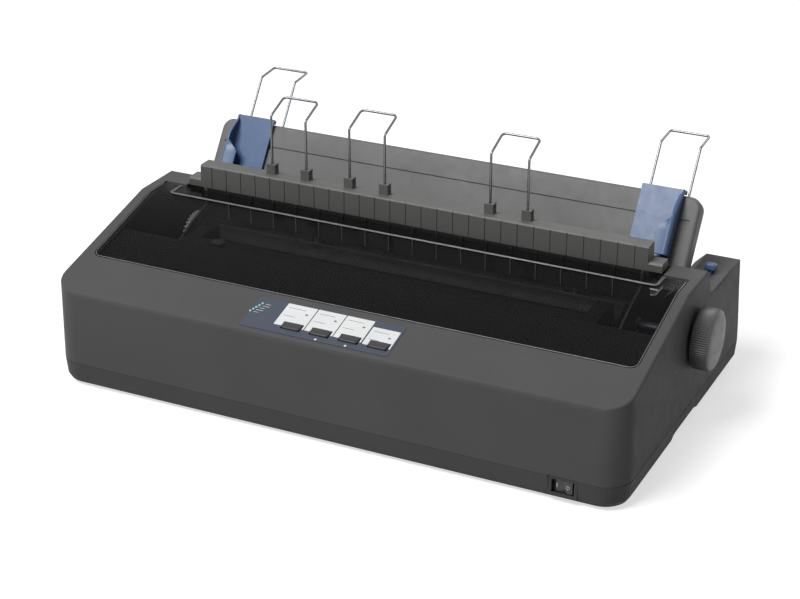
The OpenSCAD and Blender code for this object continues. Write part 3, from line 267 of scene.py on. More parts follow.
@dataclass(frozen=True)
class MouldedPlastic(Finish):
    """Injection moulded plastic with a spark-eroded or polished tool surface."""

    grain_mm: float = 0.5
    grain_height_mm: float = 0.03
    cloud_mm: float = 60.0
    spread: float = 0.04
    specular: float = 0.4
    edge_mm: float = 0.5

    def surface(self, tree: bpy.types.NodeTree, place: bpy.types.NodeSocket) -> dict:
        """Gives the shader's inputs.

        Args:
            tree: The node tree.
            place: The place on the piece.

        Returns:
            Plastic whose fine grain breaks up its highlights and whose edges catch the light.
        """
        cloud = self.noise(tree, place, self.cloud_mm)
        rub = self.noise(tree, place, self.cloud_mm / 6, 4.0)
        grain = self.noise(tree, place, self.grain_mm, 3.0)
        # Moulded edges are never sharp, so the normal turns over the edge radius
        edge = add_node(tree, "ShaderNodeBevel", {"Radius": self.edge_mm * MM}, samples=4)
        bump = add_node(tree, "ShaderNodeBump", {"Height": grain, "Distance": self.grain_height_mm * MM,
                                                 "Strength": 1.0, "Normal": edge.outputs[0]})
        return {
            "Base Color": self.tinted(tree, cloud, self.spread),
            "Roughness": self.rubbed(tree, rub, 0.05),
            "Specular IOR Level": self.specular, "IOR": 1.52, "Normal": bump.outputs[0]}


@dataclass(frozen=True)
class SmokedSheet(Finish):
    """Clear plastic sheet with a black dye in it, polished on both sides."""

    cover: float = 0.38

    def surface(self, tree: bpy.types.NodeTree, place: bpy.types.NodeSocket) -> dict:
        """Gives the shader's inputs.

        Args:
            tree: The node tree.
            place: The place on the piece.

        Returns:
            A dark gloss that lets the mechanism under it show dimly.
        """
        flow = self.noise(tree, place, 90.0)
        haze = self.noise(tree, place, 4.0, 4.0)
        normal = self.bump(tree, flow, 0.03, 0.3)
        return {
            "Base Color": self.tinted(tree, haze, 0.06),
            "Roughness": self.rubbed(tree, haze, 0.02),
            "Specular IOR Level": 0.05, "IOR": 1.49, "Alpha": self.cover, "Normal": normal}

    def make(self) -> bpy.types.Material:
        """Makes the material and lets what lies behind it show.

        Returns:
            The see-through material.
        """
        material = super().make()
        material.surface_render_method = "BLENDED"
        return material


@dataclass(frozen=True)
class BareMetal(Finish):
    """Metal that is rolled, ground or drawn, bare or thinly plated."""

    grain: Grain = Grain.ROLLED
    line_mm: float = 0.4
    spread: float = 0.08

    def surface(self, tree: bpy.types.NodeTree, place: bpy.types.NodeSocket) -> dict:
        """Gives the shader's inputs.

        Args:
            tree: The node tree.
            place: The place on the piece.

        Returns:
            Metal with fine lines along the way that it was worked.
        """
        stretch = {Grain.ROLLED: (0.04, 1.0, 1.0), Grain.GROUND: (1.0, 0.08, 0.08), Grain.DRAWN: (1.0, 1.0, 0.05)}
        lines = self.noise(tree, place, self.line_mm, 3.0, stretch[self.grain])
        cloud = self.noise(tree, place, 14.0, 3.0)
        normal = self.bump(tree, lines, 0.01, 0.6)
        return {
            "Base Color": self.tinted(tree, cloud, self.spread), "Metallic": 1.0,
            "Roughness": self.rubbed(tree, lines, 0.06),
            "Normal": normal}


@dataclass(frozen=True)
class Rubber(Finish):
    """Ground or moulded rubber."""

    pore_mm: float = 0.6

    def surface(self, tree: bpy.types.NodeTree, place: bpy.types.NodeSocket) -> dict:
        """Gives the shader's inputs.

        Args:
            tree: The node tree.
            place: The place on the piece.

        Returns:
            Dull black with fine pores and a dusty bloom.
        """
        bloom = self.noise(tree, place, 18.0, 3.0)
        pores = add_node(tree, "ShaderNodeTexVoronoi", {"Vector": place, "Scale": 1 / (self.pore_mm * MM)}).outputs[0]
        normal = self.bump(tree, pores, 0.04, 0.5)
        return {
            "Base Color": self.tinted(tree, bloom, 0.15),
            "Roughness": self.rubbed(tree, bloom, 0.08),
            "Specular IOR Level": 0.35, "IOR": 1.5, "Normal": normal}


@dataclass(frozen=True)
class CircuitBoard(Finish):
    """Glass epoxy board under a green solder mask, with its tracks."""

    track_mm: float = 5.0

    def surface(self, tree: bpy.types.NodeTree, place: bpy.types.NodeSocket) -> dict:
        """Gives the shader's inputs.

        Args:
            tree: The node tree.
            place: The place on the piece.

        Returns:
            Glossy green with lighter tracks where copper lies under the mask.
        """
        tracks = add_node(tree, "ShaderNodeTexBrick", {
            "Vector": place, "Color1": shaded(linear(self.colour), 0.85), "Color2": linear(self.colour),
            "Mortar": shaded(linear(self.colour), 1.8), "Scale": 1.0, "Mortar Size": 0.12 * self.track_mm * MM,
            "Brick Width": 4 * self.track_mm * MM, "Row Height": self.track_mm * MM})
        normal = self.bump(tree, tracks.outputs["Fac"], 0.05, 0.6)
        return {
            "Base Color": tracks.outputs["Color"], "Roughness": self.roughness, "IOR": 1.5,
            "Normal": normal}


@dataclass(frozen=True)
class InkedRibbon(Finish):
    """Woven nylon ribbon soaked with black ink."""

    thread_mm: float = 0.8

    def surface(self, tree: bpy.types.NodeTree, place: bpy.types.NodeSocket) -> dict:
        """Gives the shader's inputs.

        Args:
            tree: The node tree.
            place: The place on the piece.

        Returns:
            Matt black with a crossed weave, drawn coarser than its 0.1 mm threads so that it shows.
        """
        cloud = self.noise(tree, place, 8.0)
        waves = [add_node(tree, "ShaderNodeTexWave", {"Vector": place, "Scale": 0.32 / (self.thread_mm * MM)},
                          bands_direction=way).outputs["Fac"] for way in ("X", "Z")]
        weave = add_node(tree, "ShaderNodeMath", {0: waves[0], 1: waves[1]}, operation="MULTIPLY").outputs[0]
        normal = self.bump(tree, weave, 0.05, 0.8)
        return {
            "Base Color": self.tinted(tree, cloud, 0.2), "Roughness": self.roughness,
            "Sheen Weight": 0.2, "Normal": normal}


@dataclass(frozen=True)
class PrintedFilm(Finish):
    """Polyester film, printed on its back and lightly embossed."""

    def surface(self, tree: bpy.types.NodeTree, place: bpy.types.NodeSocket) -> dict:
        """Gives the shader's inputs.

        Args:
            tree: The node tree.
            place: The place on the piece.

        Returns:
            Even print under a soft satin skin.
        """
        cloud = self.noise(tree, place, 25.0)
        dots = self.noise(tree, place, 0.35, 1.0)
        normal = self.bump(tree, dots, 0.01, 0.7)
        return {
            "Base Color": self.tinted(tree, cloud, 0.03),
            "Roughness": self.rubbed(tree, dots, 0.04),
            "Specular IOR Level": 0.35, "IOR": 1.5, "Normal": normal}


@dataclass(frozen=True)
class ClearLens(Finish):
    """A moulded lens of dyed clear plastic, with its lamp off."""

    def surface(self, tree: bpy.types.NodeTree, place: bpy.types.NodeSocket) -> dict:
        """Gives the shader's inputs.

        Args:
            tree: The node tree.
            place: The place on the piece.

        Returns:
            A small bright dot of dyed plastic with a deeper tone inside.
        """
        cloud = self.noise(tree, place, 1.5)
        return {
            "Base Color": self.tinted(tree, cloud, 0.2), "Roughness": self.roughness, "IOR": 1.49,
            "Coat Weight": 0.5}


@dataclass(frozen=True)
class PaleFloor(Finish):
    """The studio's seamless pale floor."""

    glow: float = 0.64

    def surface(self, tree: bpy.types.NodeTree, place: bpy.types.NodeSocket) -> dict:
        """Gives the shader's inputs.

        Args:
            tree: The node tree.
            place: The place on the piece.

        Returns:
            A floor that keeps the shadow and is seen as near white.
        """
        glow = add_node(tree, "ShaderNodeMath", {0: seen_directly(tree), 1: self.glow}, operation="MULTIPLY").outputs[0]
        cloud = self.noise(tree, place, 400.0)
        return {
            "Base Color": self.tinted(tree, cloud, 0.004), "Roughness": self.roughness, "Specular IOR Level": 0.0,
            "Emission Color": (1.0, 1.0, 1.0, 1.0), "Emission Strength": glow}


class Finishes:
    """Every finish of the printer, made once and shared."""

    # ABS from a spark-eroded tool: satin, with a fine grain of 0.3 mm drawn at 0.6 mm so that it shows
    case = MouldedPlastic("spark_textured_abs", "#4d4d4e", 0.55, grain_mm=0.6, grain_height_mm=0.03, specular=0.06)
    case_low = MouldedPlastic("spark_textured_abs_base", "#484849", 0.57, grain_mm=0.6, grain_height_mm=0.03,
                              specular=0.06)
    bar = MouldedPlastic("spark_textured_abs_bar", "#565654", 0.5, grain_mm=0.6, specular=0.25)
    guide = MouldedPlastic("spark_textured_abs_guide", "#606060", 0.5, grain_mm=0.6, specular=0.22)
    # Polystyrene from a polished tool: darker and smoother than the case
    inner = MouldedPlastic("black_moulded_polystyrene", "#1d1d1e", 0.5, grain_height_mm=0.006, specular=0.2)
    # Light grey strips on the exit guide's ribs: painted highlights for the gloss on the ribs' edges, seen through the
    # cover
    rib_highlight = MouldedPlastic("painted_highlight_polystyrene", "#8a8b8d", 0.28, grain_height_mm=0.005, specular=0.6)
    # Light grey rods on the smoked cover's edges and lip: painted highlights for the shine on its rounded edges
    edge_highlight = MouldedPlastic("painted_edge_highlight", "#77787a", 0.25, grain_height_mm=0.002, specular=0.6)
    button = MouldedPlastic("button_moulded_abs", "#303032", 0.42, grain_height_mm=0.01, specular=0.3)
    knob = MouldedPlastic("knob_moulded_abs", "#4d4d4d", 0.46, grain_mm=0.5, grain_height_mm=0.02, specular=0.4)
    socket = MouldedPlastic("socket_moulded_nylon", "#1c1c1e", 0.45, grain_height_mm=0.01)
    carriage = MouldedPlastic("glass_filled_nylon", "#333335", 0.55, grain_mm=0.4, grain_height_mm=0.03)
    acetal = MouldedPlastic("moulded_white_acetal", "#dedace", 0.4, grain_height_mm=0.008, specular=0.5)
    rocker = MouldedPlastic("switch_polished_nylon", "#222224", 0.3, grain_height_mm=0.005, specular=0.6)
    # Glossy blue ABS of the parts that a hand moves
    blue = MouldedPlastic("polished_blue_abs", "#495f81", 0.24, grain_height_mm=0.004, specular=0.22, spread=0.03)
    smoked = SmokedSheet("smoked_acrylic", "#101011", 0.09)
    zinc = BareMetal("zinc_plated_sheet", "#b4b7ba", 0.38)
    # A darker copy of the zinc sheet: painted shade for the frames and the shaft deep inside the case
    shaded_zinc = BareMetal("zinc_sheet_painted_shade", "#505357", 0.45)
    screw = BareMetal("zinc_plated_screw", "#c0c2c4", 0.3, grain=Grain.GROUND)
    ground = BareMetal("centreless_ground_steel", "#cfd1d4", 0.18, grain=Grain.GROUND, spread=0.03)
    motor = BareMetal("lacquered_motor_steel", "#8c8f92", 0.42)
    head = BareMetal("die_cast_aluminium", "#a2a4a6", 0.45, line_mm=1.5)
    brass = BareMetal("turned_brass", "#c8a04a", 0.25, grain=Grain.GROUND)
    wire = BareMetal("bright_drawn_wire", "#6f7275", 0.26, grain=Grain.DRAWN, line_mm=0.3, spread=0.04)
    foot = Rubber("moulded_foot_rubber", "#1a1a1b", 0.75)
    platen = Rubber("ground_platen_rubber", "#1f1f21", 0.6, pore_mm=0.4)
    belt = Rubber("moulded_belt_rubber", "#19191a", 0.65)
    board = CircuitBoard("green_circuit_board", "#2b5a38", 0.35)
    ribbon = InkedRibbon("inked_nylon_ribbon", "#121214", 0.8)
    label = PrintedFilm("label_film_blue_grey", "#3a404e", 0.42)
    patch = PrintedFilm("label_film_white", "#d0d2d2", 0.42)
    mark = PrintedFilm("label_film_ink", "#5a6070", 0.45)
    lens = ClearLens("dyed_lens_green", "#86b8b2", 0.2)
    tick = PrintedFilm("switch_pad_print", "#c8c8c8", 0.5)
    floor = PaleFloor("pale_studio_floor", "#b9b9b9", 0.9)

    def __init__(self) -> None:
        """Starts with no material made."""
        self.made: dict[str, bpy.types.Material] = {}

    def get(self, finish: Finish) -> bpy.types.Material:
        """Gives the material of a finish, and makes it the first time.

        Args:
            finish: The finish.

        Returns:
            Its one shared material.
        """
        if finish.name not in self.made:
            self.made[finish.name] = finish.make()
        return self.made[finish.name]


# ---------------------------------------------------------------- shapes


def bevelled(shape: bmesh.types.BMesh, parts: Sequence[bmesh.types.BMEdge | bmesh.types.BMVert], radius: float,
             segments: int, affect: str = "EDGES", clamp: bool = False) -> None:
    """Rounds some edges, or some corners of a flat outline.

    Args:
        shape: The shape.
        parts: Its edges or corners that are rounded.
        radius: The radius.
        segments: How many facets each rounding has.
        affect: EDGES or VERTICES.
        clamp: Whether a rounding stops where it meets another.
    """
    bmesh.ops.bevel(shape, geom=parts, offset=radius, segments=segments, profile=0.5, affect=affect, material=-1,
                    clamp_overlap=clamp)


def settled(shape: bmesh.types.BMesh) -> bmesh.types.BMesh:
    """Puts a shape's points and faces into a fixed order, since some mesh steps leave a new one at each run.

    Args:
        shape: The shape in millimetres, which is used up.

    Returns:
        The same shape in order.
    """
    points = sorted(shape.verts, key=lambda vert: tuple(round(value, 3) for value in vert.co))
    for i, vert in enumerate(points):
        vert.index = i
    rings = []
    for face in shape.faces:
        ring = [vert.index for vert in face.verts]
        first = ring.index(min(ring))
        rings.append(ring[first:] + ring[:first])
    ordered = bmesh.new()
    verts = [ordered.verts.new(vert.co) for vert in points]
    for ring in sorted(rings):
        ordered.faces.new([verts[i] for i in ring])
    shape.free()
    ordered.normal_update()
    return ordered


def block(size: Sequence[float], centre: Sequence[float], round_mm: float = 0.0,
          segments: int = 3) -> bmesh.types.BMesh:
    """Makes a block with rounded edges.

    Args:
        size: Its size along x, y and z.
        centre: Its middle.
        round_mm: The radius of its edges.
        segments: How many facets each rounding has.

    Returns:
        The block.
    """
    shape = bmesh.new()
    bmesh.ops.create_cube(shape, size=1.0, matrix=Matrix.Translation(Vector(centre)) @ Matrix.Diagonal((*size, 1.0)))
    if round_mm > 0:
        bevelled(shape, shape.edges[:], round_mm, segments)
    return shape


def oblong(x0: float, x1: float, y0: float, y1: float) -> list[tuple[float, float]]:
    """The four corners of a rectangle, in turn."""
    return [(x0, y0), (x1, y0), (x1, y1), (x0, y1)]


def pad(outline: Sequence[tuple[float, float]], height: float, corner: float,
        top_round: float = 0.0) -> bmesh.types.BMesh:
    """Makes a flat pad from a plan outline, with its upright corners rounded.

    Args:
        outline: The corners of the plan, in turn.
        height: How thick the pad is.
        corner: The radius of the upright corners.
        top_round: The radius of the upper edge.

    Returns:
        The pad, standing on z = 0.
    """
    shape = bmesh.new()
    shape.faces.new([shape.verts.new((x, y, 0.0)) for x, y in outline])
    bevelled(shape, shape.verts[:], corner, 5, affect="VERTICES")
    face = max(shape.faces, key=lambda f: f.calc_area())
    raised = bmesh.ops.extrude_face_region(shape, geom=[face])["geom"]
    bmesh.ops.translate(shape, vec=(0, 0, height), verts=[g for g in raised if isinstance(g, bmesh.types.BMVert)])
    bmesh.ops.recalc_face_normals(shape, faces=shape.faces[:])
    if top_round > 0:
        rim = [e for e in shape.edges if all(abs(v.co.z - height) < 1e-4 for v in e.verts)]
        bevelled(shape, rim, top_round, 3)
    return shape


def rod(start: Sequence[float], end: Sequence[float], radius: float, sides: int = 24,
        round_mm: float = 0.3) -> bmesh.types.BMesh:
    """Makes a round rod between two points, with its ends broken.

    Args:
        start: The middle of its first end.
        end: The middle of its other end.
        radius: Its radius.
        sides: How many facets it has round its axis.
        round_mm: The radius at its ends.

    Returns:
        The rod's shape.
    """
    start, end = Vector(start), Vector(end)
    way = end - start
    turn = way.to_track_quat("Z", "Y").to_matrix().to_4x4()
    shape = bmesh.new()
    bmesh.ops.create_cone(shape, cap_ends=True, segments=sides, radius1=radius, radius2=radius, depth=way.length,
                          matrix=Matrix.Translation((start + end) / 2) @ turn)
    rims = [e for e in shape.edges if any(len(f.verts) > 4 for f in e.link_faces)]
    bevelled(shape, rims, round_mm, 2)
    return shape


def joined(shapes: Iterable[bmesh.types.BMesh]) -> bmesh.types.BMesh:
    """Puts several shapes into one.

    Args:
        shapes: The shapes, which are used up.

    Returns:
        One shape that holds them all.
    """
    whole = bmesh.new()
    for shape in shapes:
        mesh = bpy.data.meshes.new("part")
        shape.to_mesh(mesh)
        whole.from_mesh(mesh)
        shape.free()
        bpy.data.meshes.remove(mesh)
    return whole


def moved(shape: bmesh.types.BMesh, matrix: Matrix) -> bmesh.types.BMesh:
    """Moves a shape by a matrix and gives it back."""
    bmesh.ops.transform(shape, matrix=matrix, verts=shape.verts[:])
    return shape


def mirrored(shape: bmesh.types.BMesh) -> bmesh.types.BMesh:
    """Turns a shape into its mirror image across x = 0.

    Args:
        shape: The shape.

    Returns:
        The same shape.
    """
    bmesh.ops.scale(shape, vec=(-1, 1, 1), verts=shape.verts[:])
    bmesh.ops.reverse_faces(shape, faces=shape.faces[:])
    return shape


def on_deck(x: float, y: float, out: float = 0.0) -> Matrix:
    """The frame on the sloping deck over a point: x across, y up the slope, z square out of it."""
    return (Matrix.Translation((x, y, DECK_FRONT_Z + y * math.tan(DECK_ANGLE)))
            @ Matrix.Rotation(DECK_ANGLE, 4, "X") @ Matrix.Translation((0, 0, out)))


def on_guide(up: float = 0.0, out: float = 0.0) -> Matrix:
    """The frame on the sheet guide: x across, y up the plate from its pivot, z out of its face."""
    return (Matrix.Translation(GUIDE_PIVOT) @ Matrix.Rotation(math.pi / 2 - GUIDE_LEAN, 4, "X")
            @ Matrix.Translation((0, up, out)))


def filleted(points: Sequence[Vector], bends: Sequence[float], steps: int = 7) -> list[Vector]:
    """Rounds the corners of a path.

    Args:
        points: The path's corners, with its two ends.
        bends: The bend radius at each inner corner.
        steps: How many points an arc has.

    Returns:
        The path's points.
    """
    path = [points[0]]
    for before, corner, after, radius in zip(points, points[1:], points[2:], bends):
        back, ahead = (before - corner).normalized(), (after - corner).normalized()
        half = back.angle(ahead) / 2
        centre = corner + (back + ahead).normalized() * radius / math.sin(half)
        start = corner + back * radius / math.tan(half)
        end = corner + ahead * radius / math.tan(half)
        for i in range(steps + 1):
            path.append(centre + (start - centre).slerp(end - centre, i / steps).normalized() * radius)
    return [*path, points[-1]]


def bent_rod(path: Sequence[Vector], radius: float) -> bmesh.types.BMesh:
    """Makes a round wire along a path.

    Args:
        path: The points of its middle.
        radius: The wire's radius.

    Returns:
        The wire, with closed ends.
    """
    curve = bpy.data.curves.new("wire", "CURVE")
    curve.dimensions = "3D"
    curve.bevel_depth = radius
    curve.bevel_resolution = 4
    curve.use_fill_caps = True
    spline = curve.splines.new("POLY")
    spline.points.add(len(path) - 1)
    for point, place in zip(spline.points, path):
        point.co = (*place, 1.0)
    holder = set_in_scene("wire", curve)
    mesh = bpy.data.meshes.new_from_object(holder.evaluated_get(bpy.context.evaluated_depsgraph_get()))
    shape = bmesh.new()
    shape.from_mesh(mesh)
    bpy.data.objects.remove(holder)
    bpy.data.curves.remove(curve)
    bpy.data.meshes.remove(mesh)
    bmesh.ops.remove_doubles(shape, verts=shape.verts[:], dist=1e-4)
    bmesh.ops.recalc_face_normals(shape, faces=shape.faces[:])
    return shape


# ---------------------------------------------------------------- sub-assemblies


@dataclass
class SubAssembly:
    """A group of pieces that are made and dressed together."""

    frame: dict
    finishes: Finishes
    pieces: list[bpy.types.Object] = field(default_factory=list)

    def place(self, shape: bmesh.types.BMesh, name: str, body: str, finish: Finish, slot: str,
              stands_for: Sequence[str] = (), sharp: float = 35.0) -> bpy.types.Object:
        """Puts a shape into the scene as a piece.

        Args:
            shape: The shape in millimetres, which is used up.
            name: The piece's name.
            body: The body that it rides on.
            finish: Its finish.
            slot: The record's material slot that it belongs to; not used.
            stands_for: The model's nodes that it replaces.
            sharp: Edges that turn more than this many degrees stay sharp.

        Returns:
            The piece.
        """
        shape = settled(shape)
        # Wide faces are flat mouldings, and only the narrow facets of a rounding are shaded as one curve
        for face in shape.faces:
            longest = max(edge.calc_length() for edge in face.edges)
            face.smooth = face.calc_area() < FLAT_WIDTH * longest
        bmesh.ops.triangulate(shape, faces=[face for face in shape.faces if len(face.verts) > 4])
        moved(shape, TO_MODEL)
        mesh = bpy.data.meshes.new(name)
        shape.to_mesh(mesh)
        shape.free()
        mesh.set_sharp_from_angle(angle=math.radians(sharp))
        piece = set_in_scene(name, mesh)
        mesh.materials.append(self.finishes.get(finish))
        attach(piece, body)
        if stands_for:
            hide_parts(*stands_for)
        self.pieces.append(piece)
        log.info("%s rides on %s, %d faces", name, body, len(mesh.polygons))
        return piece

    def dress(self, finish: Finish, *nodes: str) -> None:
        """Gives nodes of the model a finish.

        Args:
            finish: The finish.
            nodes: The nodes' names.
        """
        for node in nodes:
            mesh = self.frame["nodes"][node].data
            for i in range(len(mesh.materials)):
                mesh.materials[i] = self.finishes.get(finish)

    def copied(self, node: str) -> bmesh.types.BMesh:
        """Copies a node's shape in millimetres, with its doubles merged and its flat faces joined.

        Args:
            node: The node's name.

        Returns:
            The shape in the maker's frame.
        """
        shape = bmesh.new()
        shape.from_mesh(self.frame["nodes"][node].data)
        bmesh.ops.remove_doubles(shape, verts=shape.verts[:], dist=2e-6)
        moved(shape, TO_MODEL.inverted())
        bmesh.ops.dissolve_limit(shape, angle_limit=math.radians(0.6), verts=shape.verts[:], edges=shape.edges[:])
        return shape

    def rounded(self, shape: bmesh.types.BMesh, radius: float, segments: int,
                chosen: Callable[[Vector, Vector], bool]) -> bmesh.types.BMesh:
        """Rounds the outward edges that a test picks.

        Args:
            shape: The shape.
            radius: The edge radius in millimetres.
            segments: How many facets the rounding has.
            chosen: A test on an edge's two ends.

        Returns:
            The same shape.
        """
        edges = [e for e in shape.edges if len(e.link_faces) == 2 and e.is_convex
                 and e.calc_face_angle(0) > math.radians(25) and chosen(e.verts[0].co, e.verts[1].co)]
        bevelled(shape, edges, radius, segments)
        return shape


@dataclass
class CaseShells(SubAssembly):
    """The two moulded halves of the case, with the feet and screws."""

    half_width: float = 306.0
    seam_z: float = 26.0
    draft: float = math.radians(1.2)
    front_corner: float = 27.0
    rear_corner: float = 10.0
    edge: float = 2.6
    rear_corner_y: float = 348.0
    # How far the envelope stands outside the flat walls, so that only its roundings cut
    slack: float = 0.05

    def envelope(self) -> bmesh.types.BMesh:
        """Makes the solid that the upper case is trimmed to, with every outer edge rounded.

        Returns:
            The side view of the case drawn across its width, with leaning sides and round corners.
        """
        # The corners (y, z) in turn: the front, the deck up to the crest, the rear shelf and the sloping back
        side = [(-0.05, 20.0), (-0.05, 105.85), (172.0, 150.05), (231.03, 150.05), (244.03, 121.05), (339.04, 119.05),
                (341.06, 113.01), (355.01, 20.0)]
        shape = bmesh.new()
        face = shape.faces.new([shape.verts.new((-1.0, y, z)) for y, z in side])
        moved_part = bmesh.ops.extrude_face_region(shape, geom=[face])["geom"]
        bmesh.ops.translate(shape, vec=(2.0, 0, 0), verts=[g for g in moved_part if isinstance(g, bmesh.types.BMVert)])
        for vert in shape.verts:
            vert.co.x *= self.half_width + self.slack - (vert.co.z - self.seam_z) * math.tan(self.draft)
        bmesh.ops.recalc_face_normals(shape, faces=shape.faces[:])
        for y, radius in ((0.0, self.front_corner), (self.rear_corner_y, self.rear_corner)):
            uprights = [e for e in shape.edges if all(abs(v.co.y - y) < 9 for v in e.verts)
                        and abs(e.verts[0].co.z - e.verts[1].co.z) > 50
                        and abs(e.verts[0].co.x - e.verts[1].co.x) < 10]
            bevelled(shape, uprights, radius, 14)
        rim = [e for e in shape.edges if e.is_convex and e.calc_face_angle(0) > math.radians(25)
               and min(v.co.z for v in e.verts) > 30]
        bevelled(shape, rim, self.edge, 5)
        return shape

    def trimmed(self, shape: bmesh.types.BMesh, envelope: bmesh.types.BMesh) -> bmesh.types.BMesh:
        """Keeps what lies inside an envelope.

        Args:
            shape: The shape, which is used up.
            envelope: The outer solid, which is used up.

        Returns:
            The common part of both.
        """
        holders = []
        for part in (settled(envelope), settled(shape)):
            bmesh.ops.triangulate(part, faces=part.faces[:])
            mesh = bpy.data.meshes.new("trim")
            part.to_mesh(mesh)
            part.free()
            holders.append(set_in_scene("trim", mesh))
        cut = holders[0].modifiers.new("trim", "BOOLEAN")
        cut.operation = "INTERSECT"
        cut.solver = "EXACT"
        cut.object = holders[1]
        result = bpy.data.meshes.new_from_object(holders[0].evaluated_get(bpy.context.evaluated_depsgraph_get()))
        if not len(result.polygons):
            log.warning("the trim came out empty, so the shape keeps its plain edges")
        whole = bmesh.new()
        whole.from_mesh(result if len(result.polygons) else holders[1].data)
        bpy.data.meshes.remove(result)
        for holder in holders:
            mesh = holder.data
            bpy.data.objects.remove(holder)
            bpy.data.meshes.remove(mesh)
        bmesh.ops.remove_doubles(whole, verts=whole.verts[:], dist=1e-3)
        bmesh.ops.dissolve_limit(whole, angle_limit=math.radians(0.4), verts=whole.verts[:], edges=whole.edges[:])
        return whole

    def build(self) -> None:
        """Makes the upper half with rounded edges and dresses the rest."""
        upper = self.trimmed(self.copied("upper_case"), self.envelope())
        self.place(upper, "case_top", "case", Finishes.case, "case_plastic", ["upper_case"], sharp=40)
        self.dress(Finishes.case_low, "lower_case")
        self.dress(Finishes.foot, "rubber_feet")
        self.dress(Finishes.screw, "case_screws")


@dataclass
class SmokedCover(SubAssembly):
    """The hinged see-through cover and the black panel under its front."""

    half_width: float = 292.2
    front: float = 58.8
    rear: float = 197.0
    edge: float = 0.5
    lip_half_width: float = 271.0

    def build(self) -> None:
        """Rounds the cover's upper edges and its lip so that they catch the light."""
        cover = self.copied("printer_cover")

        def on_rim(a: Vector, b: Vector) -> bool:
            """Tells whether an edge lies on the cover's upper outline or on top of its lip.

            Args:
                a: The edge's first end.
                b: Its other end.

            Returns:
                Whether it is rounded.
            """
            deck = [abs(p.z - self.top(p.y)) < 0.05 for p in (a, b)]
            lip = [abs(p.z - CREST_Z - 1.2) < 0.05 for p in (a, b)]
            outside = [abs(p.x) > self.half_width - 9.2 or p.y < self.front + 9.2 for p in (a, b)]
            return (all(deck) and all(outside)) or all(lip)

        self.rounded(cover, self.edge, 3, on_rim)
        self.place(cover, "cover_sheet", "cover", Finishes.smoked, "smoked_plastic", ["printer_cover"], sharp=30)
        # Light grey rods along the cover's edge and lip: painted highlights for their shine
        self.place(joined([self.edge_highlight_line(0.55, 8.0), *self.lip_highlight_lines()]), "cover_edge_highlights", "cover", Finishes.edge_highlight,
                   "smoked_plastic")
        self.dress(Finishes.inner, "inner_deck")

    def top(self, y: float) -> float:
        """The height of the cover's upper face."""
        return min(CREST_Z, DECK_FRONT_Z + y * math.tan(DECK_ANGLE))

    def edge_highlight_line(self, inset: float, corner: float) -> bmesh.types.BMesh:
        """Makes the light line that runs round the cover: a painted highlight for the shine on its rounded edge.

        Args:
            inset: How far it lies inside the outline.
            corner: The radius of its front corners.

        Returns:
            A half-sunk light grey rod along both sides and the front.
        """
        side, front = self.half_width - inset, self.front + inset
        corners = [Vector((x, y, self.top(y))) for x, y in (
            (-side, self.rear - 1), (-side, CREST_Y), (-side, front), (side, front), (side, CREST_Y),
            (side, self.rear - 1))]
        return bent_rod(filleted(corners, [20.0, corner, corner, 20.0]), 0.32)

    def lip_highlight_lines(self) -> list[bmesh.types.BMesh]:
        """Makes the two light lines on the edges of the lip, painted highlights, which turn back at both ends.

        Returns:
            The outer line and the inner line.
        """
        highlight_lines = []
        for inset, corner in ((0.5, 5.5), (2.3, 3.7)):
            side, front = self.lip_half_width - inset, CREST_Y + 1 + inset
            corners = [Vector((x, y, CREST_Z + 1.15)) for x, y in (
                (-side, self.rear - 0.5), (-side, front), (side, front), (side, self.rear - 0.5))]
            highlight_lines.append(bent_rod(filleted(corners, [corner, corner]), 0.35))
        return highlight_lines


